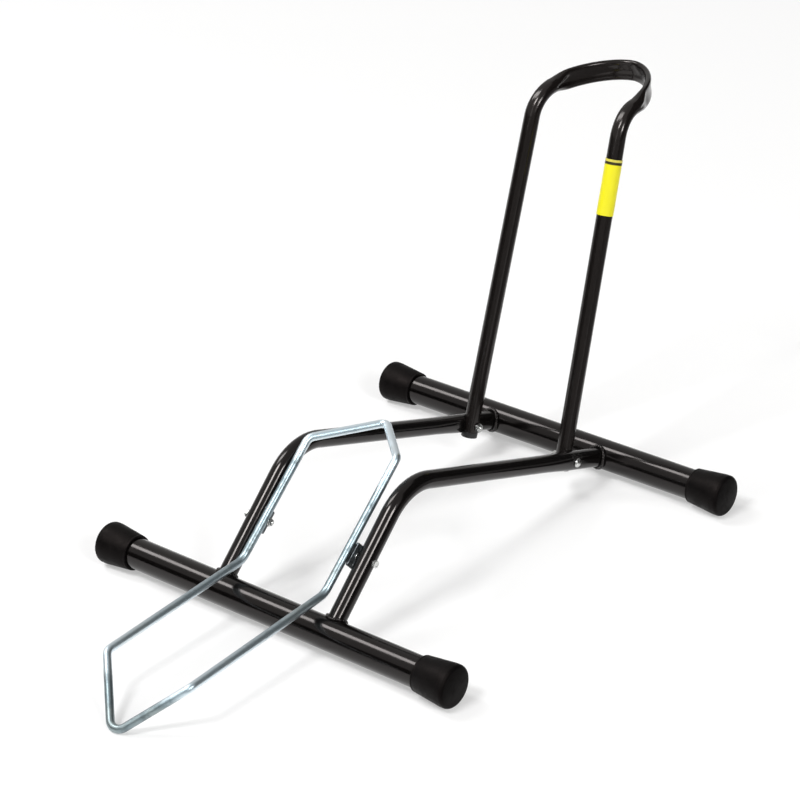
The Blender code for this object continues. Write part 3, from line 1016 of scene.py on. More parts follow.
@dataclass(frozen=True)
class GlossPaint(Finish):
    """Black baked paint on steel tube."""

    name: str
    colour: Colour = (0.0024, 0.0020, 0.0019, 1.0)
    gloss: Pair = (0.09, 0.14)
    dusty: Colour = (0.022, 0.019, 0.017, 1.0)
    bare: Colour = (0.10, 0.098, 0.095, 1.0)
    sheen: Colour = (1.0, 0.93, 0.91, 1.0)
    slot = Slot.GLOSS

    def lay(self, coat: Coat) -> None:
        """Feeds a coat's shader.

        Args:
            coat: The coat.
        """
        patches, lines = coat.patches(38.0, 0.35, 0.68), coat.drawn(900.0, 9.0)
        ripples = coat.use(coat.effects.peel, Place=coat.place, Ripples_per_metre=520.0)
        dust, worn = coat.dust(0.08), coat.rubbed()
        coat.dress(
            Base_Color=coat.blend(worn, coat.blend(dust, self.colour, self.dusty), self.bare),
            Roughness=coat.sum(
                coat.scaled(patches, *self.gloss),
                coat.times(lines, 0.05),
                coat.times(dust, 0.9),
                coat.times(worn, 0.2),
            ),
            IOR=1.42,
            Specular_Tint=self.sheen,
        )
        coat.relief(0.0000020, ripples, coat.times(lines, 0.8), coat.times(worn, -2.0))


@dataclass(frozen=True)
class CupRubber(Finish):
    """Moulded black rubber of the foot cups, with bloom, and with dust near the floor."""

    name: str = "black_cup_rubber"
    colour: Colour = (0.0015, 0.0014, 0.0015, 1.0)
    bloom: Colour = (0.0038, 0.0035, 0.0035, 1.0)
    dusty: Colour = (0.014, 0.0135, 0.013, 1.0)
    sheen: Colour = (1.0, 0.83, 0.79, 1.0)
    slot = Slot.RUBBER

    def lay(self, coat: Coat) -> None:
        """Feeds a coat's shader.

        Args:
            coat: The coat.
        """
        patches, dust = coat.patches(95.0, 0.36, 0.72), coat.dust(0.5, 0.009)
        fine, worn = coat.noise(coat.place, 2600.0, 3.0, 0.7), coat.rubbed(420.0)
        colour = coat.blend(coat.times(patches, 0.55), self.colour, self.bloom)
        colour = coat.blend(dust, colour, self.dusty)
        coat.dress(
            Base_Color=coat.blend(coat.times(worn, 0.6), colour, self.bloom),
            Roughness=coat.sum(coat.scaled(patches, 0.42, 0.60), coat.times(dust, 0.3)),
            IOR=1.5,
            Specular_IOR_Level=0.085,
            Specular_Tint=self.sheen,
        )
        coat.relief(0.00003, fine, coat.times(patches, 1.5))


@dataclass(frozen=True)
class PlugPlastic(Finish):
    """Satin black plastic of the leg plugs."""

    name: str = "black_plug_plastic"
    colour: Colour = (0.0060, 0.0060, 0.0066, 1.0)
    bloom: Colour = (0.016, 0.016, 0.017, 1.0)
    slot = Slot.PLASTIC

    def lay(self, coat: Coat) -> None:
        """Feeds a coat's shader.

        Args:
            coat: The coat.
        """
        patches = coat.patches(260.0, 0.35, 0.7)
        pale = coat.sum(coat.times(patches, 0.5), coat.rubbed())
        coat.dress(
            Base_Color=coat.blend(pale, self.colour, self.bloom),
            Roughness=coat.scaled(patches, 0.30, 0.46),
            IOR=1.49,
        )
        coat.relief(0.000012, coat.noise(coat.place, 3400.0, 2.0))


@dataclass(frozen=True)
class ZincPlate(Finish):
    """Bright zinc plating with a bluish cast; some uses add a painted sheen and painted shade.

    Args:
        name: The material's name.
        bright: The colour of clean plating.
        dull: The colour of its cloudy patches.
        gloss: Roughness from clean to cloudy.
        patches: Cloudy patches per metre.
        cloudy: Where the patches begin, as a level of the noise.
        shaded_slope: Clean and cloudy colours of a painted shade on the slope, or None.
        painted_sheen_edge: How much paler a painted sheen makes the plating seen from the side.
        pale: The colour of that painted sheen.
        straw: The colour of a faint tint in large patches.
        lines: How deep the drawing lines are, in metres.
        slope: Heights between which the painted shade fades in at each end of the slope.
        tip: Heights between which the painted shade of the front point fades in.
        handled: Clean and cloudy colours of the painted shade on the front point.
    """

    name: str
    bright: Colour
    dull: Colour
    gloss: Pair
    patches: float = 70.0
    cloudy: float = 0.45
    shaded_slope: tuple[Colour, Colour] | None = None
    painted_sheen_edge: float = 0.0
    pale: Colour = (0.86, 0.95, 1.0, 1.0)
    straw: Colour = (0.62, 0.62, 0.52, 1.0)
    lines: float = 0.000006
    slope: tuple[Pair, Pair] = ((0.050, 0.072), (0.162, 0.150))
    tip: Pair = (0.047, 0.034)
    handled: tuple[Colour, Colour] = ((0.18, 0.235, 0.25, 1.0), (0.09, 0.12, 0.13, 1.0))
    slot = Slot.ZINC

    def lay(self, coat: Coat) -> None:
        """Feeds a coat's shader.

        Args:
            coat: The coat.
        """
        clouds = coat.patches(self.patches, self.cloudy, self.cloudy + 0.25)
        tint, worn = coat.patches(22.0, 0.48, 0.75), coat.rubbed()
        drawn, fine = coat.drawn(2600.0, 26.0), coat.noise(coat.place, 1500.0, 4.0, 0.7)
        colour = coat.blend(clouds, self.bright, self.dull)
        # Painted sheen: the colour goes paler towards the edges as the camera sees them.
        if self.painted_sheen_edge:
            facing = coat.put("ShaderNodeLayerWeight", {"Blend": 0.5}).outputs["Facing"]
            colour = coat.blend(coat.step(facing, 0.0, 0.5, self.painted_sheen_edge), colour, self.pale)
        # Painted shade: darker colours on the slope, and on the front point near the floor.
        if self.shaded_slope:
            height = coat.part(coat.place, 2)
            tip, front, rear = [coat.step(height, *pair) for pair in (self.tip, *self.slope)]
            handled = coat.blend(clouds, *self.handled)
            colour = coat.blend(coat.times(tip, 0.8), colour, handled)
            shaded_slope = coat.blend(clouds, *self.shaded_slope)
            colour = coat.blend(coat.times(front, rear), colour, shaded_slope)
        colour = coat.blend(coat.times(tint, 0.18), colour, self.straw)
        coat.dress(
            Base_Color=coat.blend(coat.times(worn, 0.4), colour, self.bright),
            Metallic=1.0,
            Roughness=coat.sum(coat.scaled(clouds, *self.gloss), coat.times(fine, 0.08)),
        )
        coat.relief(self.lines, drawn, coat.times(fine, 0.35), coat.times(clouds, 0.4))


@dataclass(frozen=True)
class YellowFilm(Finish):
    """Bare yellow film round a leg, with a dark band and a pale strip at its upper end.

    Args:
        band: Where the dark band begins, in metres up the film.
        strip: Where the pale strip begins.
        blur: Half the width over which each one begins.
        name: The material's name.
        yellow: The film's colour.
        faded: The colour that it takes a little of in patches.
        dark: The band's colour.
        pale: The strip's colour.
    """

    band: float
    strip: float
    blur: float = 0.0001
    name: str = "yellow_leg_film"
    yellow: Colour = (0.80, 0.735, 0.010, 1.0)
    faded: Colour = (0.66, 0.60, 0.008, 1.0)
    dark: Colour = (0.030, 0.024, 0.004, 1.0)
    pale: Colour = (0.64, 0.57, 0.080, 1.0)
    slot = Slot.YELLOW

    def lay(self, coat: Coat) -> None:
        """Feeds a coat's shader.

        Args:
            coat: The coat.
        """
        run, patches = coat.part(coat.lie, 2), coat.patches(130.0, 0.35, 0.75)
        colour = coat.blend(coat.times(patches, 0.10), self.yellow, self.faded)
        for edge, beyond in ((self.band, self.dark), (self.strip, self.pale)):
            past = coat.step(run, edge - self.blur, edge + self.blur)
            colour = coat.blend(past, colour, beyond)
        coat.dress(Base_Color=colour, Roughness=coat.scaled(patches, 0.28, 0.42), IOR=1.5)
        coat.relief(0.00002, coat.noise(coat.place, 900.0, 3.0), coat.times(patches, 1.2))


class Looks:
    """The finishes that the pieces share."""

    def __init__(self, effects: Effects) -> None:
        """Makes them all.

        Args:
            effects: The shared node groups.
        """
        self.paint = GlossPaint("black_tube_paint").make(effects)
        self.hoop_paint = GlossPaint(
            "black_hoop_paint", colour=(0.0062, 0.0050, 0.0046, 1.0), gloss=(0.12, 0.17)
        ).make(effects)
        self.rubber = CupRubber().make(effects)
        self.plastic = PlugPlastic().make(effects)
        self.wire = ZincPlate(
            "zinc_wire",
            bright=(0.44, 0.545, 0.60, 1.0),
            dull=(0.27, 0.35, 0.39, 1.0),
            gloss=(0.34, 0.44),
            # Painted shade on the slope.
            shaded_slope=((0.27, 0.335, 0.365, 1.0), (0.13, 0.165, 0.18, 1.0)),
            # Painted sheen, paler towards the wire's edges.
            painted_sheen_edge=0.9,
        ).make(effects)
        # The plate's plating is darkened as painted shade of the narrow gap beside the black arm.
        self.plate = ZincPlate(
            "zinc_plate",
            bright=(0.19, 0.21, 0.225, 1.0),
            dull=(0.07, 0.08, 0.088, 1.0),
            gloss=(0.46, 0.62),
            patches=240.0,
            cloudy=0.40,
        ).make(effects)
        # The weld's plating is darkened as painted shade of the same gap by the wire.
        self.weld = ZincPlate(
            "zinc_weld",
            bright=(0.042, 0.047, 0.050, 1.0),
            dull=(0.015, 0.017, 0.018, 1.0),
            gloss=(0.62, 0.78),
            patches=300.0,
            cloudy=0.38,
        ).make(effects)
        self.bolt = ZincPlate(
            "zinc_bolt",
            bright=(0.70, 0.71, 0.70, 1.0),
            dull=(0.44, 0.45, 0.44, 1.0),
            gloss=(0.18, 0.36),
            patches=420.0,
        ).make(effects)
        self.nylon = PlugPlastic(
            "lock_ring_nylon",
            colour=(0.030, 0.034, 0.040, 1.0),
            bloom=(0.06, 0.066, 0.075, 1.0),
        ).make(effects)


# ---------------------------------------------------------------- handing over


@dataclass
class Bench:
    """Where finished meshes become pieces of the stand."""

    plan: Plan
    effects: Effects
    looks: Looks
    sweep: WireSweep = field(default_factory=WireSweep)
    weld: WeldRun = field(default_factory=WeldRun)
    thread: ThreadRun = field(default_factory=ThreadRun)
    made: int = 0

    def hand_over(
        self, name: str, mesh: Mesh, look: Look, *nodes: str, body: Body = Body.STAND
    ) -> None:
        """Makes a mesh a piece that rides on a body.

        Args:
            name: The piece's name.
            mesh: Its mesh, in place.
            look: Its finish.
            nodes: The CAD nodes that it stands for.
            body: The body that it rides on.
        """
        mesh.name = name
        mesh.materials.clear()
        mesh.materials.append(look.material)
        piece = bpy.data.objects.new(name, mesh)
        bpy.context.scene.collection.objects.link(piece)
        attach(piece, body.value)
        if nodes:
            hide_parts(*nodes)
        self.made += 1
        log.info("%s: %d faces, rides on %s", name, len(mesh.polygons), body.value)


@dataclass
class Assembly:
    """A sub-assembly, which is made on a bench."""

    bench: Bench

    @property
    def plan(self) -> Plan:
        """The shared places."""
        return self.bench.plan

    @property
    def looks(self) -> Looks:
        """The shared finishes."""
        return self.bench.looks

    def build(self) -> None:
        """Makes its pieces."""
        raise NotImplementedError


# ---------------------------------------------------------------- base tubes


@dataclass
class CrossTubes(Assembly):
    """Two straight tubes across the stand, with a rubber cup on each end."""

    half_length: float = 0.2620
    steps: int = 24
    cap_wall: float = 0.0069
    cap_rim_wall: float = 0.0029
    cap_grip: float = 0.0409
    cap_end_wall: float = 0.0079
    cap_edge: float = 0.0046
    cap_land: float = 0.0050
    cap_crease: float = 0.0017
    cap_slack: float = 0.00004
    end_slack: float = 0.0003
    end_bulge: float = 0.0012
    sides: int = 112

    def build(self) -> None:
        """Makes the tubes and their cups."""
        for end in End:
            self.tube(end)
            for side in Side:
                self.cup(end, side)

    def tube(self, end: End) -> None:
        """Makes one base tube.

        Args:
            end: Which tube it is.
        """
        radius, centre = self.plan.tube_radius, self.plan.tube_axis(end)
        section = stadium(radius, radius, self.sides)
        rings = []
        for k in range(self.steps + 1):
            x = self.half_length * (2 * k / self.steps - 1)
            points = placed(section, centre + ACROSS * x, Vector((0, 0, 1)), Vector((0, 1, 0)))
            rings.append(Ring(points, section, x))
        mesh, name = skin(rings, "tube"), end.value
        self.bench.hand_over(f"{name}_cross_tube", mesh, self.looks.paint, f"{name}_base_tube")

    def cup(self, end: End, side: Side) -> None:
        """Makes one rubber cup: a cone over the tube's end, with a curled lip and a domed end.

        Args:
            end: The tube's end of the stand.
            side: The tube's side.
        """
        radius, crease = self.plan.tube_radius, self.cap_crease
        wide, rim = radius + self.cap_wall, radius + self.cap_rim_wall
        inner = radius + self.cap_slack
        top, mouth = self.half_length + self.cap_end_wall, self.half_length - self.cap_grip
        shoulder, floor = top - self.end_bulge, self.half_length + self.end_slack
        land = shoulder - self.cap_edge - self.cap_land
        taper = (wide - rim) / (land - mouth)
        profile = [
            Corner(0.0, top),
            Corner(wide * 0.34, top - self.end_bulge * 0.10),
            Corner(wide * 0.62, top - self.end_bulge * 0.42),
            Corner(wide, shoulder, self.cap_edge, 0.5),
            Corner(wide, land, 0.020, 0.15),
            Corner(rim + taper * crease * 2.0, mouth + crease * 2.0),
            Corner(rim - 0.0002 + taper * crease, mouth + crease * 1.5, 0.0005),
            Corner(rim + 0.0002, mouth + crease, 0.0004, 0.3),
            Corner(rim, mouth, 0.0007, 0.4),
            Corner(inner, mouth, 0.0004),
            Corner(inner, mouth + 0.006),
            Corner(inner, floor),
            Corner(0.0, floor),
        ]
        name, place = f"{end.value}_{side.word}", side.mount(self.plan.tube_axis(end), 0.0)
        mesh = turned(name, profile, place, sides=self.sides, steps=8, sharp=0.9)
        self.bench.hand_over(f"{name}_foot_cup", mesh, self.looks.rubber, f"{name}_cap")


# ---------------------------------------------------------------- arms


@dataclass
class Arms(Assembly):
    """A pair of bent tubes from the front base tube over a peak to the rear one."""

    bend_radius: float = 0.0700
    weld_radius: float = 0.0022
    rear_weld_radius: float = 0.0029
    cope_run: float = 0.0180
    cope_depth: float = 0.00015
    clear: float = 0.0225
    shoulder: float = 0.0022
    dent_pitch: float = 0.00075
    dent_wear: float = 0.35
    dent_wear_reach: float = 0.012
    tail: float = 0.030
    sides: int = 72
    rise_steps: int = 12
    bend_steps: int = 30
    fall_steps: int = 16
    dent_steps: int = 22
    weld_sides: int = 96
    weld_sink: float = 0.50
    weld_pitch: float = 1.1

    def build(self) -> None:
        """Makes both arms and their four welds."""
        for side in Side:
            mesh, name = skin(self.rings(side), "arm"), side.word
            self.bench.hand_over(f"{name}_bent_arm", mesh, self.looks.paint, f"{name}_arm")
            for end in End:
                self.weld(end, side)

    def coped(
        self,
        end: End,
        frame: tuple[Vector, Vector, Vector],
        section: Section,
        run: float,
    ) -> Ring:
        """The ring in which an arm's end meets a base tube's skin.

        Args:
            end: The base tube.
            frame: The arm's foot, its direction away from the base tube, and its up.
            section: The arm's section there.
            run: How far along the arm the ring counts.

        Returns:
            The ring.
        """
        foot, out, up = frame
        points = []
        for u, v in section:
            reach = self.plan.meeting(end, out, up, u, -self.cope_depth)
            points.append(foot + out * reach + up * u + ACROSS * v)
        return Ring(points, section, run)

    def rings(self, side: Side) -> list[Ring]:
        """The arm's rings from the front base tube to the rear one.

        Args:
            side: The arm's side.

        Returns:
            The rings.
        """
        plan = self.plan
        shift, radius = side.out(plan.arm_x), plan.arm_radius
        section = stadium(radius, radius, self.sides)
        rise, fall, turn = heading(plan.rise), heading(-plan.fall), plan.rise + plan.fall
        tangent = self.bend_radius * math.tan(turn / 2)
        peak = plan.point(plan.arm_peak_back, plan.arm_peak_up) + shift
        foot, end = plan.point(0, 0) + shift, plan.arm_end + shift

        up = heading(plan.rise + QUARTER)
        rings = [self.coped(End.FRONT, (foot, rise, up), section, self.cope_run)]
        straight = (peak - foot).length - tangent
        for k in range(self.rise_steps + 1):
            at = self.clear + (straight - self.clear) * k / self.rise_steps
            rings.append(Ring(placed(section, foot + rise * at, up, ACROSS), section, at))

        centre = peak - rise * tangent + heading(plan.rise - QUARTER) * self.bend_radius
        for k in range(1, self.bend_steps + 1):
            out = heading(plan.rise + QUARTER - turn * k / self.bend_steps)
            points = placed(section, centre + out * self.bend_radius, out, ACROSS)
            run = straight + self.bend_radius * turn * k / self.bend_steps
            rings.append(Ring(points, section, run))

        start = straight + self.bend_radius * turn
        long = (end - peak).length - tangent
        up = heading(QUARTER - plan.fall)
        dent_at, last = long - plan.hoop_reach, long - self.clear
        even = [long * k / self.fall_steps for k in range(1, self.fall_steps)]
        dent = [self.dent_pitch * k for k in range(-self.dent_steps, self.dent_steps + 1)]
        stops = {at for at in even if at < last} | {dent_at + at for at in dent}
        stops |= {last, long - self.tail}
        for at in sorted(stops):
            from_end = long - at
            before = plan.hoop_reach + 5 * plan.leg_radius
            pressed = ease((before - from_end) / (3 * plan.leg_radius))
            tall = radius + (plan.arm_end_half_height - radius) * pressed
            narrow = radius + (plan.arm_end_half_width - radius) * pressed
            section = stadium(tall, narrow, self.sides)
            points = placed(section, end - fall * from_end, up, ACROSS)
            points = [self.dented(side, point) for point in points]
            wear = self.dent_wear if abs(at - dent_at) < self.dent_wear_reach else 0.0
            rings.append(Ring(points, section, start + at, wear))
        section = stadium(plan.arm_end_half_height, plan.arm_end_half_width, self.sides)
        run = start + long - self.cope_run
        rings.append(self.coped(End.REAR, (end, -fall, up), section, run))
        return rings

    def dented(self, side: Side, point: Vector) -> Vector:
        """Pushes a point of the arm's skin out of the hollow in which the hoop's leg lies.

        Args:
            side: The arm's side.
            point: The point.

        Returns:
            The point, moved outwards where the hollow is, with a rounded shoulder.
        """
        plan = self.plan
        axis, bolt = plan.leg_axis(side), plan.leg_bolt(side)
        offset = point - bolt
        centre = bolt + axis * offset.dot(axis)
        away = abs(offset.dot(axis.cross(ACROSS).normalized()))
        bed = plan.leg_radius + plan.gap
        if away >= bed + self.shoulder:
            return point
        sink = math.sqrt(bed**2 - away**2) if away < bed else (bed - away) * 4
        wall, here = side.value * centre.x + sink, side.value * point.x
        if wall < here - self.shoulder:
            return point
        soft = max(self.shoulder - abs(here - wall), 0.0) / self.shoulder
        moved = max(here, wall) + soft**2 * self.shoulder / 4
        return Vector((side.value * moved, point.y, point.z))

    def weld(self, end: End, side: Side) -> None:
        """Lays the weld in the corner between an arm and a base tube.

        Args:
            end: The arm's end.
            side: The arm's side.
        """
        plan = self.plan
        if end is End.FRONT:
            radius, angle = self.weld_radius, plan.rise
            half_up = half_across = plan.arm_radius
        else:
            radius, angle = self.rear_weld_radius, math.pi - plan.fall
            half_up, half_across = plan.arm_end_half_height, plan.arm_end_half_width
        reach, foot = radius * self.weld_sink, plan.arm_foot(end)
        out, up = heading(angle), heading(angle + QUARTER)
        path = []
        for u, v in stadium(half_up + reach, half_across + reach, self.weld_sides):
            shift = ACROSS * (side.value * plan.arm_x + v)
            path.append(foot + out * plan.meeting(end, out, up, u, reach) + up * u + shift)
        name, look = f"{end.value}_{side.word}", self.looks.paint
        seed = 3 + side.value + 5 * (end is End.REAR)
        values = {"Radius": radius, "Pitch": radius * self.weld_pitch, "Seed": seed}
        mesh = self.bench.weld.make(name, path, True, Finish=look.material, **values)
        self.bench.hand_over(f"{name}_arm_weld", mesh, look, f"{name}_weld")


# ---------------------------------------------------------------- hoop


@dataclass
class Hoop(Assembly):
    """One tube bent to two legs and a loop, pressed to a strap round the loop."""

    below_bolt: float = 0.0076
    leg_run: float = 0.4015
    bend_radius: float = 0.0419
    bend_flatten: float = 0.17
    loop_slope: float = math.radians(3.33)
    loop_depth: float = 0.0887
    draw_in: float = 0.0020
    fullness: float = 1.15
    strap_thickness: float = 0.0073
    trim: float = 0.00006
    transition: float = 0.0300
    dish: float = 0.0013
    plug_head: float = 0.0070
    plug_lip: float = 0.0003
    label_up_leg: float = 0.3077
    label_length: float = 0.0692
    label_thickness: float = 0.0003
    label_slack: float = 0.00002
    band_at: float = 0.0627
    strip_at: float = 0.0662
    sides: int = 72
    leg_steps: int = 24
    neck_steps: int = 10
    bend_steps: int = 28
    loop_steps: int = 72
    label_sides: int = 64
    label_steps: int = 40

    def build(self) -> None:
        """Makes the hoop, its plugs and its label."""
        mesh = skin(self.rings(), "hoop")
        self.bench.hand_over("wheel_hoop", mesh, self.looks.hoop_paint, "hoop")
        for side in Side:
            self.plug(side)
        self.label()

    def stations(self) -> tuple[list[tuple[Vector, Vector, float]], float]:
        """Stations up the right leg to the loop's middle.

        Returns:
            Each station's centre, upward direction and distance past the leg, and the side
            bend's length.
        """
        plan = self.plan
        lean = QUARTER - plan.leg_lean
        turn = lean - self.loop_slope
        bend, narrowing = self.bend_radius * turn, math.tan(plan.leg_splay)
        up_leg, bolt = heading(lean), plan.hoop_bolt
        stations = []
        foot, neck = -self.below_bolt, self.leg_run - bend / 2
        legs, necks, bends = self.leg_steps, self.neck_steps, self.bend_steps
        heights = [foot + (neck - foot) * k / legs for k in range(legs + 1)]
        heights += [neck + bend / 2 * k / necks for k in range(1, necks)]
        for height in heights:
            centre = bolt + up_leg * height
            centre.x = plan.leg_x - narrowing * height
            stations.append((centre, heading(lean + QUARTER), height - self.leg_run))
        heart = bolt + up_leg * self.leg_run + heading(lean - QUARTER) * self.bend_radius
        for k in range(bends + 1):
            out, run = heading(lean - turn * k / bends + QUARTER), bend * k / bends
            centre = heart + out * self.bend_radius
            inward = narrowing * (self.leg_run + run)
            centre.x = plan.leg_x - inward - self.draw_in * ease(run / bend)
            stations.append((centre, out, run))
        root = last = stations[-1][0]
        back, up, run = heading(self.loop_slope), heading(self.loop_slope + QUARTER), bend
        for k in range(1, self.loop_steps + 1):
            angle = QUARTER * k / self.loop_steps
            centre = root + back * self.loop_depth * math.sin(angle) ** self.fullness
            centre.x = root.x * max(math.cos(angle), 0.0) ** self.fullness
            run += (centre - last).length
            last = centre
            stations.append((centre, up, run))
        return stations, bend

    def rings(self) -> list[Ring]:
        """Rings round the whole hoop, from the left leg's foot to the right one's.

        Returns:
            The rings.
        """
        right, bend = self.stations()
        path = [(mirrored(c), up, run) for c, up, run in right[:-1]] + right[::-1]
        radius, thin = self.plan.leg_radius, self.strap_thickness / 2
        tall = thin + QUARTER * (radius - thin) - self.trim
        rings, along = [], 0.0
        for i, (centre, up, run) in enumerate(path):
            before, after = path[max(i - 1, 0)][0], path[min(i + 1, len(path) - 1)][0]
            along += (centre - before).length
            ahead = (after - before).normalized()
            up = (up - ahead * up.dot(ahead)).normalized()
            squeeze = ease(1 - abs(run - bend / 2) / bend) * self.bend_flatten
            pressed = ease((run - bend) / self.transition)
            high = radius * (1 - squeeze) + (tall - radius) * pressed
            wide = radius + (thin - radius) * pressed
            section = self.pressed(stadium(high, wide, self.sides), high, run - bend)
            rings.append(Ring(placed(section, centre, up, ahead.cross(up)), section, along))
        return rings

    def pressed(self, section: Section, high: float, past: float) -> Section:
        """Hollows the strap's faces, as pressing a tube flat does.

        Args:
            section: The section before.
            high: Half its height.
            past: How far past the side bend it is.

        Returns:
            The section with both faces hollowed, the inner one more, deepest where the strap
            begins.
        """
        start = ease((past + 0.004) / 0.012)
        deep = self.dish * start * (1 + 0.9 * (1 - ease((past - 0.010) / 0.030)))
        narrow = 0.30 + 0.34 * ease(past / self.transition)
        hollowed = []
        for up, across in section:
            share = max(1 - (abs(up) / (high * narrow)) ** 2, 0.0) ** 1.5
            if across > 0:
                across -= min(deep * share, across * 0.8)
            else:
                across += min(deep * 0.45 * share, -across * 0.8)
            hollowed.append((up, across))
        return hollowed

    def plug(self, side: Side) -> None:
        """Makes the plastic plug in a leg's foot.

        Args:
            side: The leg's side.
        """
        radius = self.plan.leg_radius
        head, top = radius + self.plug_lip, -self.below_bolt + 0.0002
        low = -self.below_bolt - 0.0003 - self.plug_head
        profile = [
            Corner(0.0, top),
            Corner(radius * 0.93, top),
            Corner(head, top - 0.0003, 0.0002, 0.4),
            Corner(head, low, 0.0013, 0.6),
            Corner(head * 0.72, low, 0.0006),
            Corner(head * 0.66, low + 0.0007, 0.0006),
            Corner(0.0, low + 0.0008),
        ]
        mesh, name = turned("plug", profile, self.plan.leg_frame(side), sharp=0.7), side.word
        self.bench.hand_over(f"{name}_foot_plug", mesh, self.looks.plastic, f"{name}_leg_plug")

    def label(self) -> None:
        """Makes the yellow film round the right leg, left bare."""
        look = YellowFilm(self.band_at, self.strip_at).make(self.bench.effects)
        inner = self.plan.leg_radius + self.label_slack
        outer = self.plan.leg_radius + self.plan.gap + self.label_thickness
        place, steps = self.plan.leg_frame(Side.RIGHT), self.label_steps
        low, high = self.label_up_leg, self.label_up_leg + self.label_length
        heights = [low + (high - low) * k / steps for k in range(steps + 1)]
        rings = []
        for radius, order in ((outer, heights), (inner, heights[::-1])):
            section = circle(radius, self.label_sides)
            rings += [level(place, section, height, height - low) for height in order]
        self.bench.hand_over("leg_film", skin(rings, "film", loop=True), look, "leg_label")


# ---------------------------------------------------------------- cradle


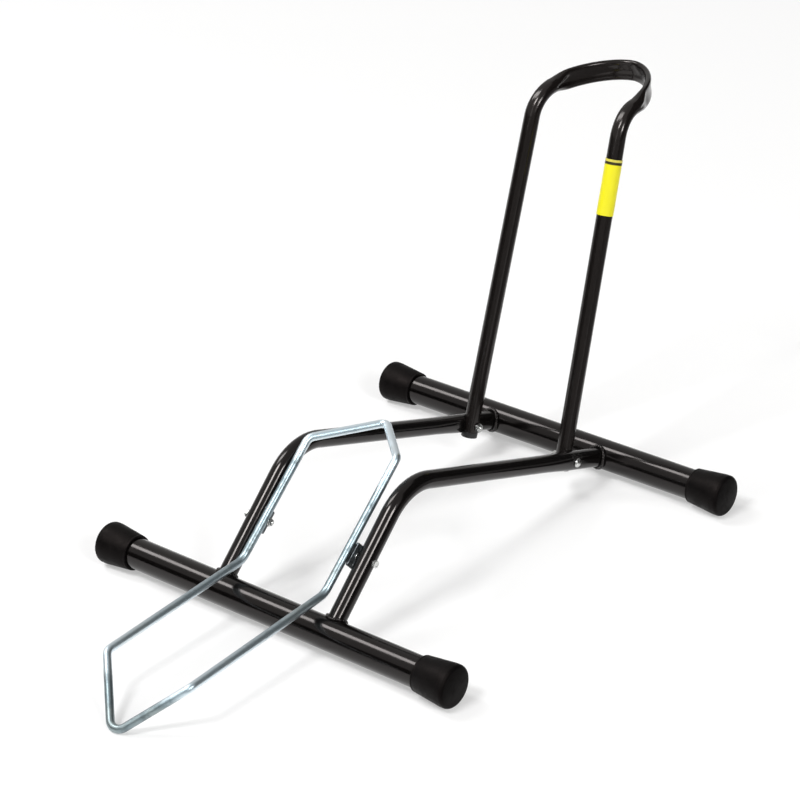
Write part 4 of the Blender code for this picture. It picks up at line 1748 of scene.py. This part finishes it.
@dataclass
class Cradle(Assembly):
    """One closed wire on two pivot plates."""

    knee_reach: float = 0.0564
    rear_reach: float = 0.1086
    rear_skew: float = 0.0137
    front_length: float = 0.2225
    front_drop: float = math.radians(2.7)
    tip_reach: float = 0.0633
    apex_across: float = -0.0059
    apex_back: float = 0.0742
    apex_up: float = 0.0059
    knee_bend: float = 0.0250
    corner_bend: float = 0.0140
    tight_bend: float = 0.0085
    tip_bend: float = 0.0145
    wire_sides: int = 40
    plate_front: float = 0.0153
    plate_rear: float = 0.0142
    plate_bottom: float = 0.0070
    plate_top: float = 0.0110
    plate_corner: float = 0.0022
    plate_edge: float = 0.0003
    hole_reach: float = 0.0105
    hole_radius: float = 0.0021
    bolt_radius: float = 0.0025
    face_wear: float = 0.3
    edge_wear: float = 0.8
    weld_radius: float = 0.0014
    weld_pitch: float = 0.0015
    weld_sink: float = 0.75
    tip_rounds: int = 8
    bend_steps: int = 24
    corner_steps: int = 8
    edge_steps: int = 3
    hole_sides: int = 40
    weld_steps: int = 16

    def build(self) -> None:
        """Makes the wire, its plates and their welds."""
        self.wire()
        for side in Side:
            self.plate(side)
            self.weld(side)

    def corners(self) -> tuple[Vector, Vector, Vector, Vector, Vector]:
        """The wire's corners.

        Returns:
            The right-hand corners from front to rear, the rear point, and the front point, which
            lies where the bend rests on the floor.
        """
        plan = self.plan
        run, rail = heading(plan.cradle_slope), Side.RIGHT.out(plan.rail_x)
        offset = heading(plan.cradle_slope + QUARTER) * plan.pivot_to_wire
        knee = plan.pivot + offset - run * self.knee_reach + rail
        rear = plan.pivot + offset + run * self.rear_reach + rail
        front = knee - heading(self.front_drop) * self.front_length
        apex = Vector((self.apex_across, rear.y + self.apex_back, rear.z + self.apex_up))
        tip = Vector((0, front.y - self.tip_reach, plan.wire_radius))
        for _ in range(self.tip_rounds):
            reach = Vector((front.x, front.y - tip.y, front.z - tip.z))
            flat = math.hypot(reach.y, reach.z)
            half = math.acos(flat / reach.length)
            lift = self.tip_bend * (1 / math.sin(half) - 1) * reach.z / flat
            tip.z = plan.wire_radius - lift
        return front, knee, rear, apex, tip

    def wire(self) -> None:
        """Makes the closed wire, whose rear end is a little askew."""
        plan, look = self.plan, self.looks.wire
        front, knee, rear, apex, tip = self.corners()
        far_rear = rear + heading(plan.cradle_slope) * self.rear_skew
        path = [(tip, self.tip_bend), (front, self.corner_bend), (knee, self.knee_bend)]
        path += [(far_rear, self.tight_bend), (apex, self.tight_bend)]
        path += [(mirrored(rear), self.corner_bend), (mirrored(knee), self.knee_bend)]
        path += [(mirrored(front), self.corner_bend)]
        corners, bends = zip(*path)
        points = rounded(corners, bends, self.bend_steps, True)
        values = {"Radius": plan.wire_radius, "Sides": self.wire_sides, "Finish": look.material}
        mesh = self.bench.sweep.make("wire", points, loop=True, **values)
        self.bench.hand_over("cradle_rod", mesh, look, "cradle_wire", body=Body.CRADLE)

    def outline(self, inset: float) -> Section:
        """The plate's outline, moved inwards.

        Args:
            inset: How far.

        Returns:
            Its points.
        """
        left, right = -self.plate_front + inset, self.plate_rear - inset
        bottom, top = -self.plate_bottom + inset, self.plate_top - inset
        radius, points = self.plate_corner - inset, []
        corners = ((right, top), (left, top), (left, bottom), (right, bottom))
        for quarter, (x, y) in enumerate(corners):
            cx, cy = x - math.copysign(radius, x), y - math.copysign(radius, y)
            for k in range(self.corner_steps + 1):
                angle = QUARTER * (quarter + k / self.corner_steps)
                points.append((cx + radius * math.cos(angle), cy + radius * math.sin(angle)))
        return points

    def rims(self, inset: float) -> list[Section]:
        """The outlines of the plate and of its two holes, each cut back by an inset."""
        pivot = circle(self.bolt_radius + self.plan.gap + inset, self.hole_sides)
        spare = circle(self.hole_radius + inset, self.hole_sides)
        return [self.outline(inset), pivot, [(u - self.hole_reach, v) for u, v in spare]]

    def plate(self, side: Side) -> None:
        """Makes a pivot plate: rounded corners, eased edges and two holes.

        Args:
            side: Its side.
        """
        plan, edge = self.plan, self.plate_edge
        half = plan.plate_thickness / 2
        run, up = heading(plan.cradle_slope), heading(plan.cradle_slope + QUARTER)
        turn = Matrix((run, up, run.cross(up))).transposed().to_4x4()
        place = Matrix.Translation(plan.pivot + side.out(plan.plate_x + half)) @ turn
        angles = [QUARTER * k / self.edge_steps for k in range(self.edge_steps + 1)]
        edges = [(edge * (1 - math.sin(a)), half - edge * (1 - math.cos(a))) for a in angles]
        stack = [(inset, -z) for inset, z in edges] + edges[::-1]
        bm = bmesh.new()
        wear = bm.verts.layers.float.new(WEAR)
        faces: tuple[list, list] = ([], [])
        for shape in range(3):
            rows = []
            for inset, z in stack:
                outline = self.rims(inset)[shape]
                row = [bm.verts.new(place @ Vector((x, y, z))) for x, y in outline]
                for vertex in row:
                    vertex[wear] = self.edge_wear if inset else self.face_wear
                rows.append(row)
            for low, high in zip(rows, rows[1:]):
                bridge(bm, low, high)
            for face, row in zip(faces, (rows[0], rows[-1])):
                face += [bm.edges.get((a, b)) for a, b in zip(row, row[1:] + row[:1])]
        for face in faces[::-1]:
            bmesh.ops.triangle_fill(bm, use_beauty=True, edges=face)
        bmesh.ops.recalc_face_normals(bm, faces=bm.faces)
        mesh, name = smoothed(bm, "plate", 0.5), side.word
        node = f"{name}_pivot_plate"
        self.bench.hand_over(f"{name}_cradle_lug", mesh, self.looks.plate, node, body=Body.CRADLE)

    def weld(self, side: Side) -> None:
        """Lays the weld that joins a plate's upper edge to the wire.

        Args:
            side: The plate's side.
        """
        plan, look, radius = self.plan, self.looks.weld, self.weld_radius
        reach, steps = radius * self.weld_sink, self.weld_steps
        up = self.plate_top + reach
        out = math.sqrt((plan.wire_radius + reach) ** 2 - (up - plan.pivot_to_wire) ** 2)
        start = plan.pivot + side.out(plan.rail_x + out)
        start += heading(plan.cradle_slope + QUARTER) * up
        run, inset = heading(plan.cradle_slope), self.plate_corner + radius
        long = self.plate_front + self.plate_rear - 2 * inset
        first = inset - self.plate_front
        path = [start + run * (first + long * k / steps) for k in range(steps + 1)]
        values = {"Radius": radius, "Pitch": self.weld_pitch, "Seed": 21 + side.value}
        mesh = self.bench.weld.make("lug_weld", path, Finish=look.material, **values)
        name = side.word
        self.bench.hand_over(f"{name}_lug_weld", mesh, look, f"{name}_plate_weld", body=Body.CRADLE)


# ---------------------------------------------------------------- fasteners


@dataclass
class Fasteners(Assembly):
    """Pivot bolts with lock nuts and spacers, and the hoop's round-headed bolts with nuts."""

    pivot_radius: float = 0.0025
    pivot_across: float = 0.0085
    pivot_head: float = 0.0040
    pivot_dish: float = 0.0003
    left_turn: float = math.radians(23)
    right_turn: float = math.radians(11)
    lock_height: float = 0.0080
    lock_across: float = 0.0100
    lock_crown: float = 0.0020
    collar: float = 0.86
    hoop_radius: float = 0.0030
    hoop_across: float = 0.0100
    hoop_height: float = 0.0050
    dome_radius: float = 0.0056
    dome_height: float = 0.0035
    dome_rim: float = 0.0006
    bolt_end: float = 0.0015
    thread_slack: float = 0.00005
    spacer_radius: float = 0.0060
    chamfer: float = math.radians(28)
    pitch: float = 0.0008
    hex_sides: int = 72
    ring_sides: int = 48
    dome_steps: int = 12
    face_share: float = 0.97
    corner_share: float = 1.135
    ring_share: float = 0.755
    sharp: float = 0.38

    def build(self) -> None:
        """Makes every bolt, nut and spacer."""
        for side in Side:
            self.pivot_bolt(side)
            self.pivot_nut(side)
            self.spacer(side)
            self.hoop_bolt(side)
            self.hoop_nut(side)

    def hexagon(self, across: float, height: float, slope: float, place: Matrix) -> Ring:
        """A hexagon's own edge, cut back by its chamfer.

        Args:
            across: Its width across the flats.
            height: The face that it belongs to, along +Z.
            slope: How steeply the chamfer leaves that face.
            place: Where it goes.

        Returns:
            The ring.
        """
        points, section = [], []
        for k in range(self.hex_sides):
            angle = 2 * math.pi * k / self.hex_sides
            turn = (angle + math.pi / 6) % (math.pi / 3) - math.pi / 6
            radius = min(across / 2 / math.cos(turn), across / 2 * self.corner_share)
            cut = max(radius - across / 2 * self.face_share, 0.0) * slope
            section.append((radius * math.cos(angle), radius * math.sin(angle)))
            points.append(place @ Vector((*section[-1], height + cut)))
        return Ring(points, section, height, 0.7)

    def hex_body(
        self,
        across: float,
        low: float,
        high: float,
        place: Matrix,
        bore: float = 0.0,
        crown: float = 0.0,
        dished: float = 0.0,
    ) -> Mesh:
        """A hexagon with turned chamfers.

        Args:
            across: Its width across the flats.
            low: Its lower face, along +Z.
            high: Its upper face.
            place: Where it goes.
            bore: The hole's radius, or 0 for a bolt's head.
            crown: How far a lock nut's round collar stands above the upper face.
            dished: How far the middle of a head sinks.

        Returns:
            The mesh.
        """
        wide, slope = across / 2 * self.face_share, math.tan(self.chamfer)
        collar = across / 2 * self.collar

        def ring(radius: float, height: float, wear: float = 0.0) -> Ring:
            """A round ring."""
            return level(place, circle(radius, self.hex_sides), height, height, wear)

        rings = [ring(bore, low), ring(wide, low), self.hexagon(across, low, slope, place)]
        rings += [self.hexagon(across, high, -slope, place), ring(wide, high, 0.3)]
        if crown:
            steps = ((1, 0.0001), (1, crown * 0.6), (0.94, crown * 0.92), (0.80, crown))
            rings += [ring(collar * share, high + up) for share, up in steps]
            rings.append(ring(collar * 0.76, high + crown * 0.7))
        elif dished:
            rings += [ring(wide * 0.72, high, 0.3), ring(wide * 0.62, high - dished)]
        rings.append(ring(bore, high - dished))
        return skin(rings, "hex", loop=bore > 0, sharp=self.sharp)

    def screw(
        self,
        name: str,
        head: Mesh,
        size: Pair,
        place: Matrix,
        sharp: float = 0.6,
    ) -> None:
        """Joins a head to a threaded shank and hands the bolt over.

        Args:
            name: Its CAD node's name without the last word.
            head: The head.
            size: The shank's radius and length.
            place: Its tip's frame, which points out.
            sharp: The angle past which an edge stays sharp.
        """
        radius, length = size
        look, path = self.looks.bolt, [Vector((0, 0, 0)), Vector((0, 0, length))]
        values = {"Radius": radius, "Pitch": self.pitch, "Length": length}
        shank = self.bench.thread.make("shank", path, Finish=look.material, **values)
        shank.transform(place)
        mesh = joined("screw", [head, shank], sharp)
        self.bench.hand_over(f"{name}_screw", mesh, look, f"{name}_bolt")

    def pivot_bolt(self, side: Side) -> None:
        """Makes a hex-headed pivot bolt.

        Args:
            side: Its side.
        """
        plan = self.plan
        tip = plan.plate_x - plan.gap - self.lock_height - self.bolt_end
        long = plan.arm_x + plan.arm_radius + plan.gap - tip
        place, top = side.mount(plan.pivot, tip), long + self.pivot_head
        angle = self.right_turn if side is Side.RIGHT else self.left_turn
        turned_place = place @ Matrix.Rotation(angle, 4, "Z")
        head = self.hex_body(self.pivot_across, long, top, turned_place, dished=self.pivot_dish)
        size = self.pivot_radius, long + 0.0005
        self.screw(f"{side.word}_pivot", head, size, place, self.sharp)

    def pivot_nut(self, side: Side) -> None:
        """Makes a pivot's lock nut, with its nylon ring as a piece of its own.

        Args:
            side: Its side.
        """
        plan, looks, crown = self.plan, self.looks, self.lock_crown
        place = side.mount(plan.pivot, plan.plate_x - plan.gap, inward=True)
        top, bore = self.lock_height - crown, self.pivot_radius + self.thread_slack
        mesh = self.hex_body(self.lock_across, 0.0, top, place, bore=bore, crown=crown)
        self.bench.hand_over(f"{side.word}_lock_nut", mesh, looks.bolt, f"{side.word}_pivot_nut")
        low, high = self.lock_height - crown * 0.9, self.lock_height - crown * 0.25
        inner, outer = self.pivot_radius, self.lock_across / 2 * self.collar * self.ring_share
        profile = [Corner(outer, low), Corner(inner, low), Corner(inner, high, 0.0002)]
        profile.append(Corner(outer, high))
        ring = turned("ring", profile, place, sides=self.ring_sides, ring=True)
        self.bench.hand_over(f"{side.word}_lock_ring", ring, looks.nylon)

    def spacer(self, side: Side) -> None:
        """Makes the washer between a pivot plate and an arm.

        Args:
            side: Its side.
        """
        plan, outer, name = self.plan, self.spacer_radius, side.word
        inner, thick = self.pivot_radius + plan.gap, plan.spacer_thickness
        profile = [
            Corner(outer, thick, 0.0003, 0.6),
            Corner(outer, 0.0, 0.0003, 0.6),
            Corner(inner, 0.0, 0.0001),
            Corner(inner, thick, 0.0001),
        ]
        place = side.mount(plan.pivot, plan.spacer_x)
        mesh = turned("washer", profile, place, ring=True, steps=3)
        self.bench.hand_over(f"{name}_pivot_washer", mesh, self.looks.bolt, f"{name}_pivot_spacer")

    def hoop_bolt(self, side: Side) -> None:
        """Makes a round-headed bolt of the hoop.

        Args:
            side: Its side.
        """
        plan, wide, rim = self.plan, self.dome_radius, self.dome_rim
        tip = plan.leg_x - plan.leg_radius - plan.gap - self.hoop_height - self.bolt_end
        long = plan.arm_x + plan.arm_end_half_width + plan.gap - tip
        profile, steps = [Corner(0.0, long + self.dome_height)], self.dome_steps
        for k in range(1, steps):
            angle = QUARTER * (1 - k / steps)
            up = (self.dome_height - rim) * math.sin(angle)
            profile.append(Corner(wide * math.cos(angle), long + rim + up))
        profile += [Corner(wide, long + rim, 0.0, 0.6), Corner(wide, long, 0.0001, 0.6)]
        profile.append(Corner(0.0, long))
        place = side.mount(plan.hoop_bolt, tip)
        head = turned("dome", profile, place, sides=self.ring_sides)
        self.screw(f"{side.word}_hoop", head, (self.hoop_radius, long + 0.0003), place)

    def hoop_nut(self, side: Side) -> None:
        """Makes a plain nut of the hoop.

        Args:
            side: Its side.
        """
        plan, name = self.plan, side.word
        place = side.mount(plan.hoop_bolt, plan.leg_x - plan.leg_radius - plan.gap, inward=True)
        bore = self.hoop_radius + self.thread_slack
        mesh = self.hex_body(self.hoop_across, 0.0, self.hoop_height, place, bore=bore)
        self.bench.hand_over(f"{name}_hoop_hex_nut", mesh, self.looks.bolt, f"{name}_hoop_nut")


# ---------------------------------------------------------------- studio


@dataclass(frozen=True)
class Lamp:
    """A soft lamp.

    Args:
        name: Its name.
        toward: The direction from the stand to it.
        width: Its width in metres.
        height: Its height in metres.
        level: Its brightness, where 1 is white.
    """

    name: str
    toward: tuple[float, float, float]
    width: float
    height: float
    level: float


@dataclass
class Studio:
    """A white floor, soft lamps, screens that only gloss and metal see, and the camera."""

    target: Vector = field(default_factory=lambda: Vector((0.040623719, -0.033662, 0.23172)))
    azimuth: float = math.radians(41.08382751)
    elevation: float = math.radians(27.38547639)
    roll: float = math.radians(2.46319718)
    distance: float = 3.27250431
    lens: float = 127.604
    lamp_distance: float = 9.0
    lamps: tuple[Lamp, ...] = (
        Lamp("lamp_over_left", (-0.584, -0.135, 0.800), 2.3, 4.0, 9.2),
        Lamp("lamp_over_front", (-0.142, -0.534, 0.833), 2.4, 2.4, 24.0),
        Lamp("lamp_right", (0.810, -0.252, 0.530), 2.1, 2.1, 23.0),
        Lamp("strip_front", (-0.032, -0.923, 0.383), 0.5, 5.6, 4.5),
        Lamp("strip_right", (0.800, -0.462, 0.383), 0.5, 5.6, 4.5),
    )
    floor_reach: float = 30.0
    glow: float = 0.36
    glow_strength: float = 1.12
    world_level: float = 0.24
    screen_radius: float = 4.2
    canopy_radius: float = 14.0
    canopy_level: float = 0.55
    side_level: float = 0.30
    far_floor_level: float = 0.30

    def build(self) -> None:
        """Sets up the floor, the world, the lamps, the screens and the camera."""
        self.floor()
        self.world()
        for lamp in self.lamps:
            self.hang(lamp)
        self.screens()
        self.camera()

    def seen_directly(self, nodes: Nodes) -> Socket:
        """Tells rays that are seen from rays that light things.

        Args:
            nodes: The tree to work in.

        Returns:
            1 for rays that the camera, a mirror or glass sends, 0 for the others.
        """
        path = nodes.put("ShaderNodeLightPath").outputs
        seen = nodes.maths("MAXIMUM", path["Is Camera Ray"], path["Is Glossy Ray"])
        return nodes.maths("MAXIMUM", seen, path["Is Transmission Ray"])

    def mixed(self, nodes: Nodes, share: Socket, first: Node, second: Node) -> Socket:
        """Mixes two shaders: a share of 1 gives the second."""
        feeds = {0: share, 1: first.outputs[0], 2: second.outputs[0]}
        return nodes.put("ShaderNodeMixShader", feeds).outputs[0]

    def place(
        self, coat: Coat, shape: tuple[list, list], hidden_from: Sequence[str] = ()
    ) -> None:
        """Places a thing of the studio, named after its material.

        Args:
            coat: Its material.
            shape: Its points and faces.
            hidden_from: The kinds of ray that don't see it.
        """
        material = coat.material
        mesh = bpy.data.meshes.new(material.name)
        mesh.from_pydata(shape[0], [], shape[1])
        mesh.materials.append(material)
        obj = bpy.data.objects.new(material.name, mesh)
        bpy.context.scene.collection.objects.link(obj)
        for ray in hidden_from:
            setattr(obj, f"visible_{ray}", False)

    def floor(self) -> None:
        """Lays the white floor, which keeps the stand's shadow."""
        coat = Coat("studio_floor")
        coat.dress(Base_Color=(0.90, 0.90, 0.90, 1.0), Roughness=0.9, Specular_IOR_Level=0.0)
        feeds = {"Color": (1.0, 0.998, 0.994, 1.0), "Strength": self.glow_strength}
        glow = coat.put("ShaderNodeEmission", feeds)
        share = coat.times(self.seen_directly(coat), self.glow)
        surface = coat.tree.nodes["Material Output"].inputs["Surface"]
        coat.feed(surface, self.mixed(coat, share, coat.shader, glow))
        reach = self.floor_reach
        self.place(coat, sheet((-reach, -reach), (reach, reach), 0.0))

    def world(self) -> None:
        """Makes the surroundings white to the eye and soft grey as a light."""
        world = bpy.data.worlds.new("studio")
        world.use_nodes = True
        world.node_tree.nodes.clear()
        nodes = Nodes(world.node_tree)
        pair = (((1.0, 0.99, 0.98, 1.0), self.world_level), ((1.0, 1.0, 1.0, 1.0), 1.0))
        soft, white = [
            nodes.put("ShaderNodeBackground", {"Color": colour, "Strength": strength})
            for colour, strength in pair
        ]
        surface = self.mixed(nodes, self.seen_directly(nodes), soft, white)
        nodes.put("ShaderNodeOutputWorld", {"Surface": surface})
        bpy.context.scene.world = world

    def hang(self, lamp: Lamp) -> None:
        """Hangs a lamp, facing the stand.

        Args:
            lamp: The lamp.
        """
        light = bpy.data.lights.new(lamp.name, "AREA")
        light.shape = "RECTANGLE"
        light.size, light.size_y = lamp.width, lamp.height
        light.energy = lamp.level * math.pi * lamp.width * lamp.height
        obj = bpy.data.objects.new(lamp.name, light)
        toward = Vector(lamp.toward).normalized()
        obj.location = Vector((0.0, 0.0, 0.15)) + toward * self.lamp_distance
        obj.rotation_euler = toward.to_track_quat("Z", "Y").to_euler()
        obj.visible_camera = False
        bpy.context.scene.collection.objects.link(obj)

    def card(self, name: str, shape: tuple[list, list], colour: float, glow: float) -> None:
        """Stands a card that only gloss and metal see.

        Args:
            name: Its name.
            shape: Its points and faces.
            colour: How light it is.
            glow: How bright it is of itself.
        """
        coat = Coat(name)
        coat.dress(
            Base_Color=(colour, colour, colour, 1.0),
            Roughness=1.0,
            Specular_IOR_Level=0.0,
            Emission_Color=(1.0, 0.985, 0.97, 1.0),
            Emission_Strength=glow,
        )
        self.place(coat, shape, ("camera", "diffuse", "shadow", "transmission"))

    def screens(self) -> None:
        """Stands the screens round the stand, the canopy above them and a far floor."""
        low, high = (0, 11, 22), (0, 20, 40, 60)
        walls = (
            ("left_screen", -165, -92, low, 0.0),
            ("front_screen", -92, -18, low, self.side_level),
            ("right_screen", -18, 8, low, 0.0),
            ("back_screen", 8, 98, high, 0.02),
        )
        for name, first, last, heights, glow in walls:
            self.card(name, curved(self.screen_radius, first, last, heights), 0.02, glow)
        dome = curved(self.canopy_radius, -180, 180, [9.9 * k for k in range(10)])
        self.card("grey_canopy", dome, 0.0, self.canopy_level)
        self.card("far_floor", sheet((0.29, -0.5), (4.0, 4.0), 0.001), 0.0, self.far_floor_level)

    def camera(self) -> None:
        """Sets the camera at the photograph's viewpoint."""
        az, el = self.azimuth, self.elevation
        ahead = Vector((-math.sin(az) * math.cos(el), math.cos(az) * math.cos(el), -math.sin(el)))
        flat = Vector((math.cos(az), math.sin(az), 0.0))
        down = ahead.cross(flat)
        c, s = math.cos(self.roll), math.sin(self.roll)
        right, down = flat * c + down * s, down * c - flat * s
        data = bpy.data.cameras.new("camera")
        data.lens, data.sensor_width, data.clip_end = self.lens, 36.0, 200.0
        camera = bpy.data.objects.new("camera", data)
        turn = Matrix((right, -down, -ahead)).transposed().to_4x4()
        camera.matrix_world = Matrix.Translation(self.target - ahead * self.distance) @ turn
        bpy.context.scene.collection.objects.link(camera)
        bpy.context.scene.camera = camera


def sheet(low: Pair, high: Pair, height: float) -> tuple[list, list]:
    """A level rectangle's points and face, from two opposite corners and its height."""
    points = [(low[0], low[1]), (high[0], low[1]), (high[0], high[1]), (low[0], high[1])]
    return [(x, y, height) for x, y in points], [(0, 1, 2, 3)]


def curved(
    radius: float, first: float, last: float, heights: Sequence[float], steps: int = 48
) -> tuple[list, list]:
    """A curved wall's points and faces.

    Args:
        radius: Its radius at the foot.
        first: Where it begins, in degrees from +X.
        last: Where it ends.
        heights: The height of each row, in degrees above the floor as seen from its centre.
        steps: Panels along it.

    Returns:
        Its points and its faces.
    """
    rows, points, faces = len(heights), [], []
    for k in range(steps + 1):
        angle = math.radians(first + (last - first) * k / steps)
        for height in (math.radians(degrees) for degrees in heights):
            flat = radius * math.cos(height)
            up = radius * math.sin(height)
            points.append((flat * math.cos(angle), flat * math.sin(angle), up))
        if k:
            starts = range(rows * k, rows * k + rows - 1)
            faces += [(n - rows, n, n + 1, n - rows + 1) for n in starts]
    return points, faces


def main() -> None:
    """Builds the stand on its CAD frame."""
    logging.basicConfig(level=logging.INFO, format="%(name)s: %(message)s")
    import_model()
    low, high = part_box("front_base_tube")
    plan = Plan(axis_y=(low.y + high.y) / 2, axis_z=(low.z + high.z) / 2)
    effects = Effects()
    bench = Bench(plan, effects, Looks(effects))
    Studio().build()
    for kind in (CrossTubes, Arms, Hoop, Cradle, Fasteners):
        kind(bench).build()
    bpy.context.scene.view_settings.view_transform = "Standard"


if __name__ == "__main__":
    main()
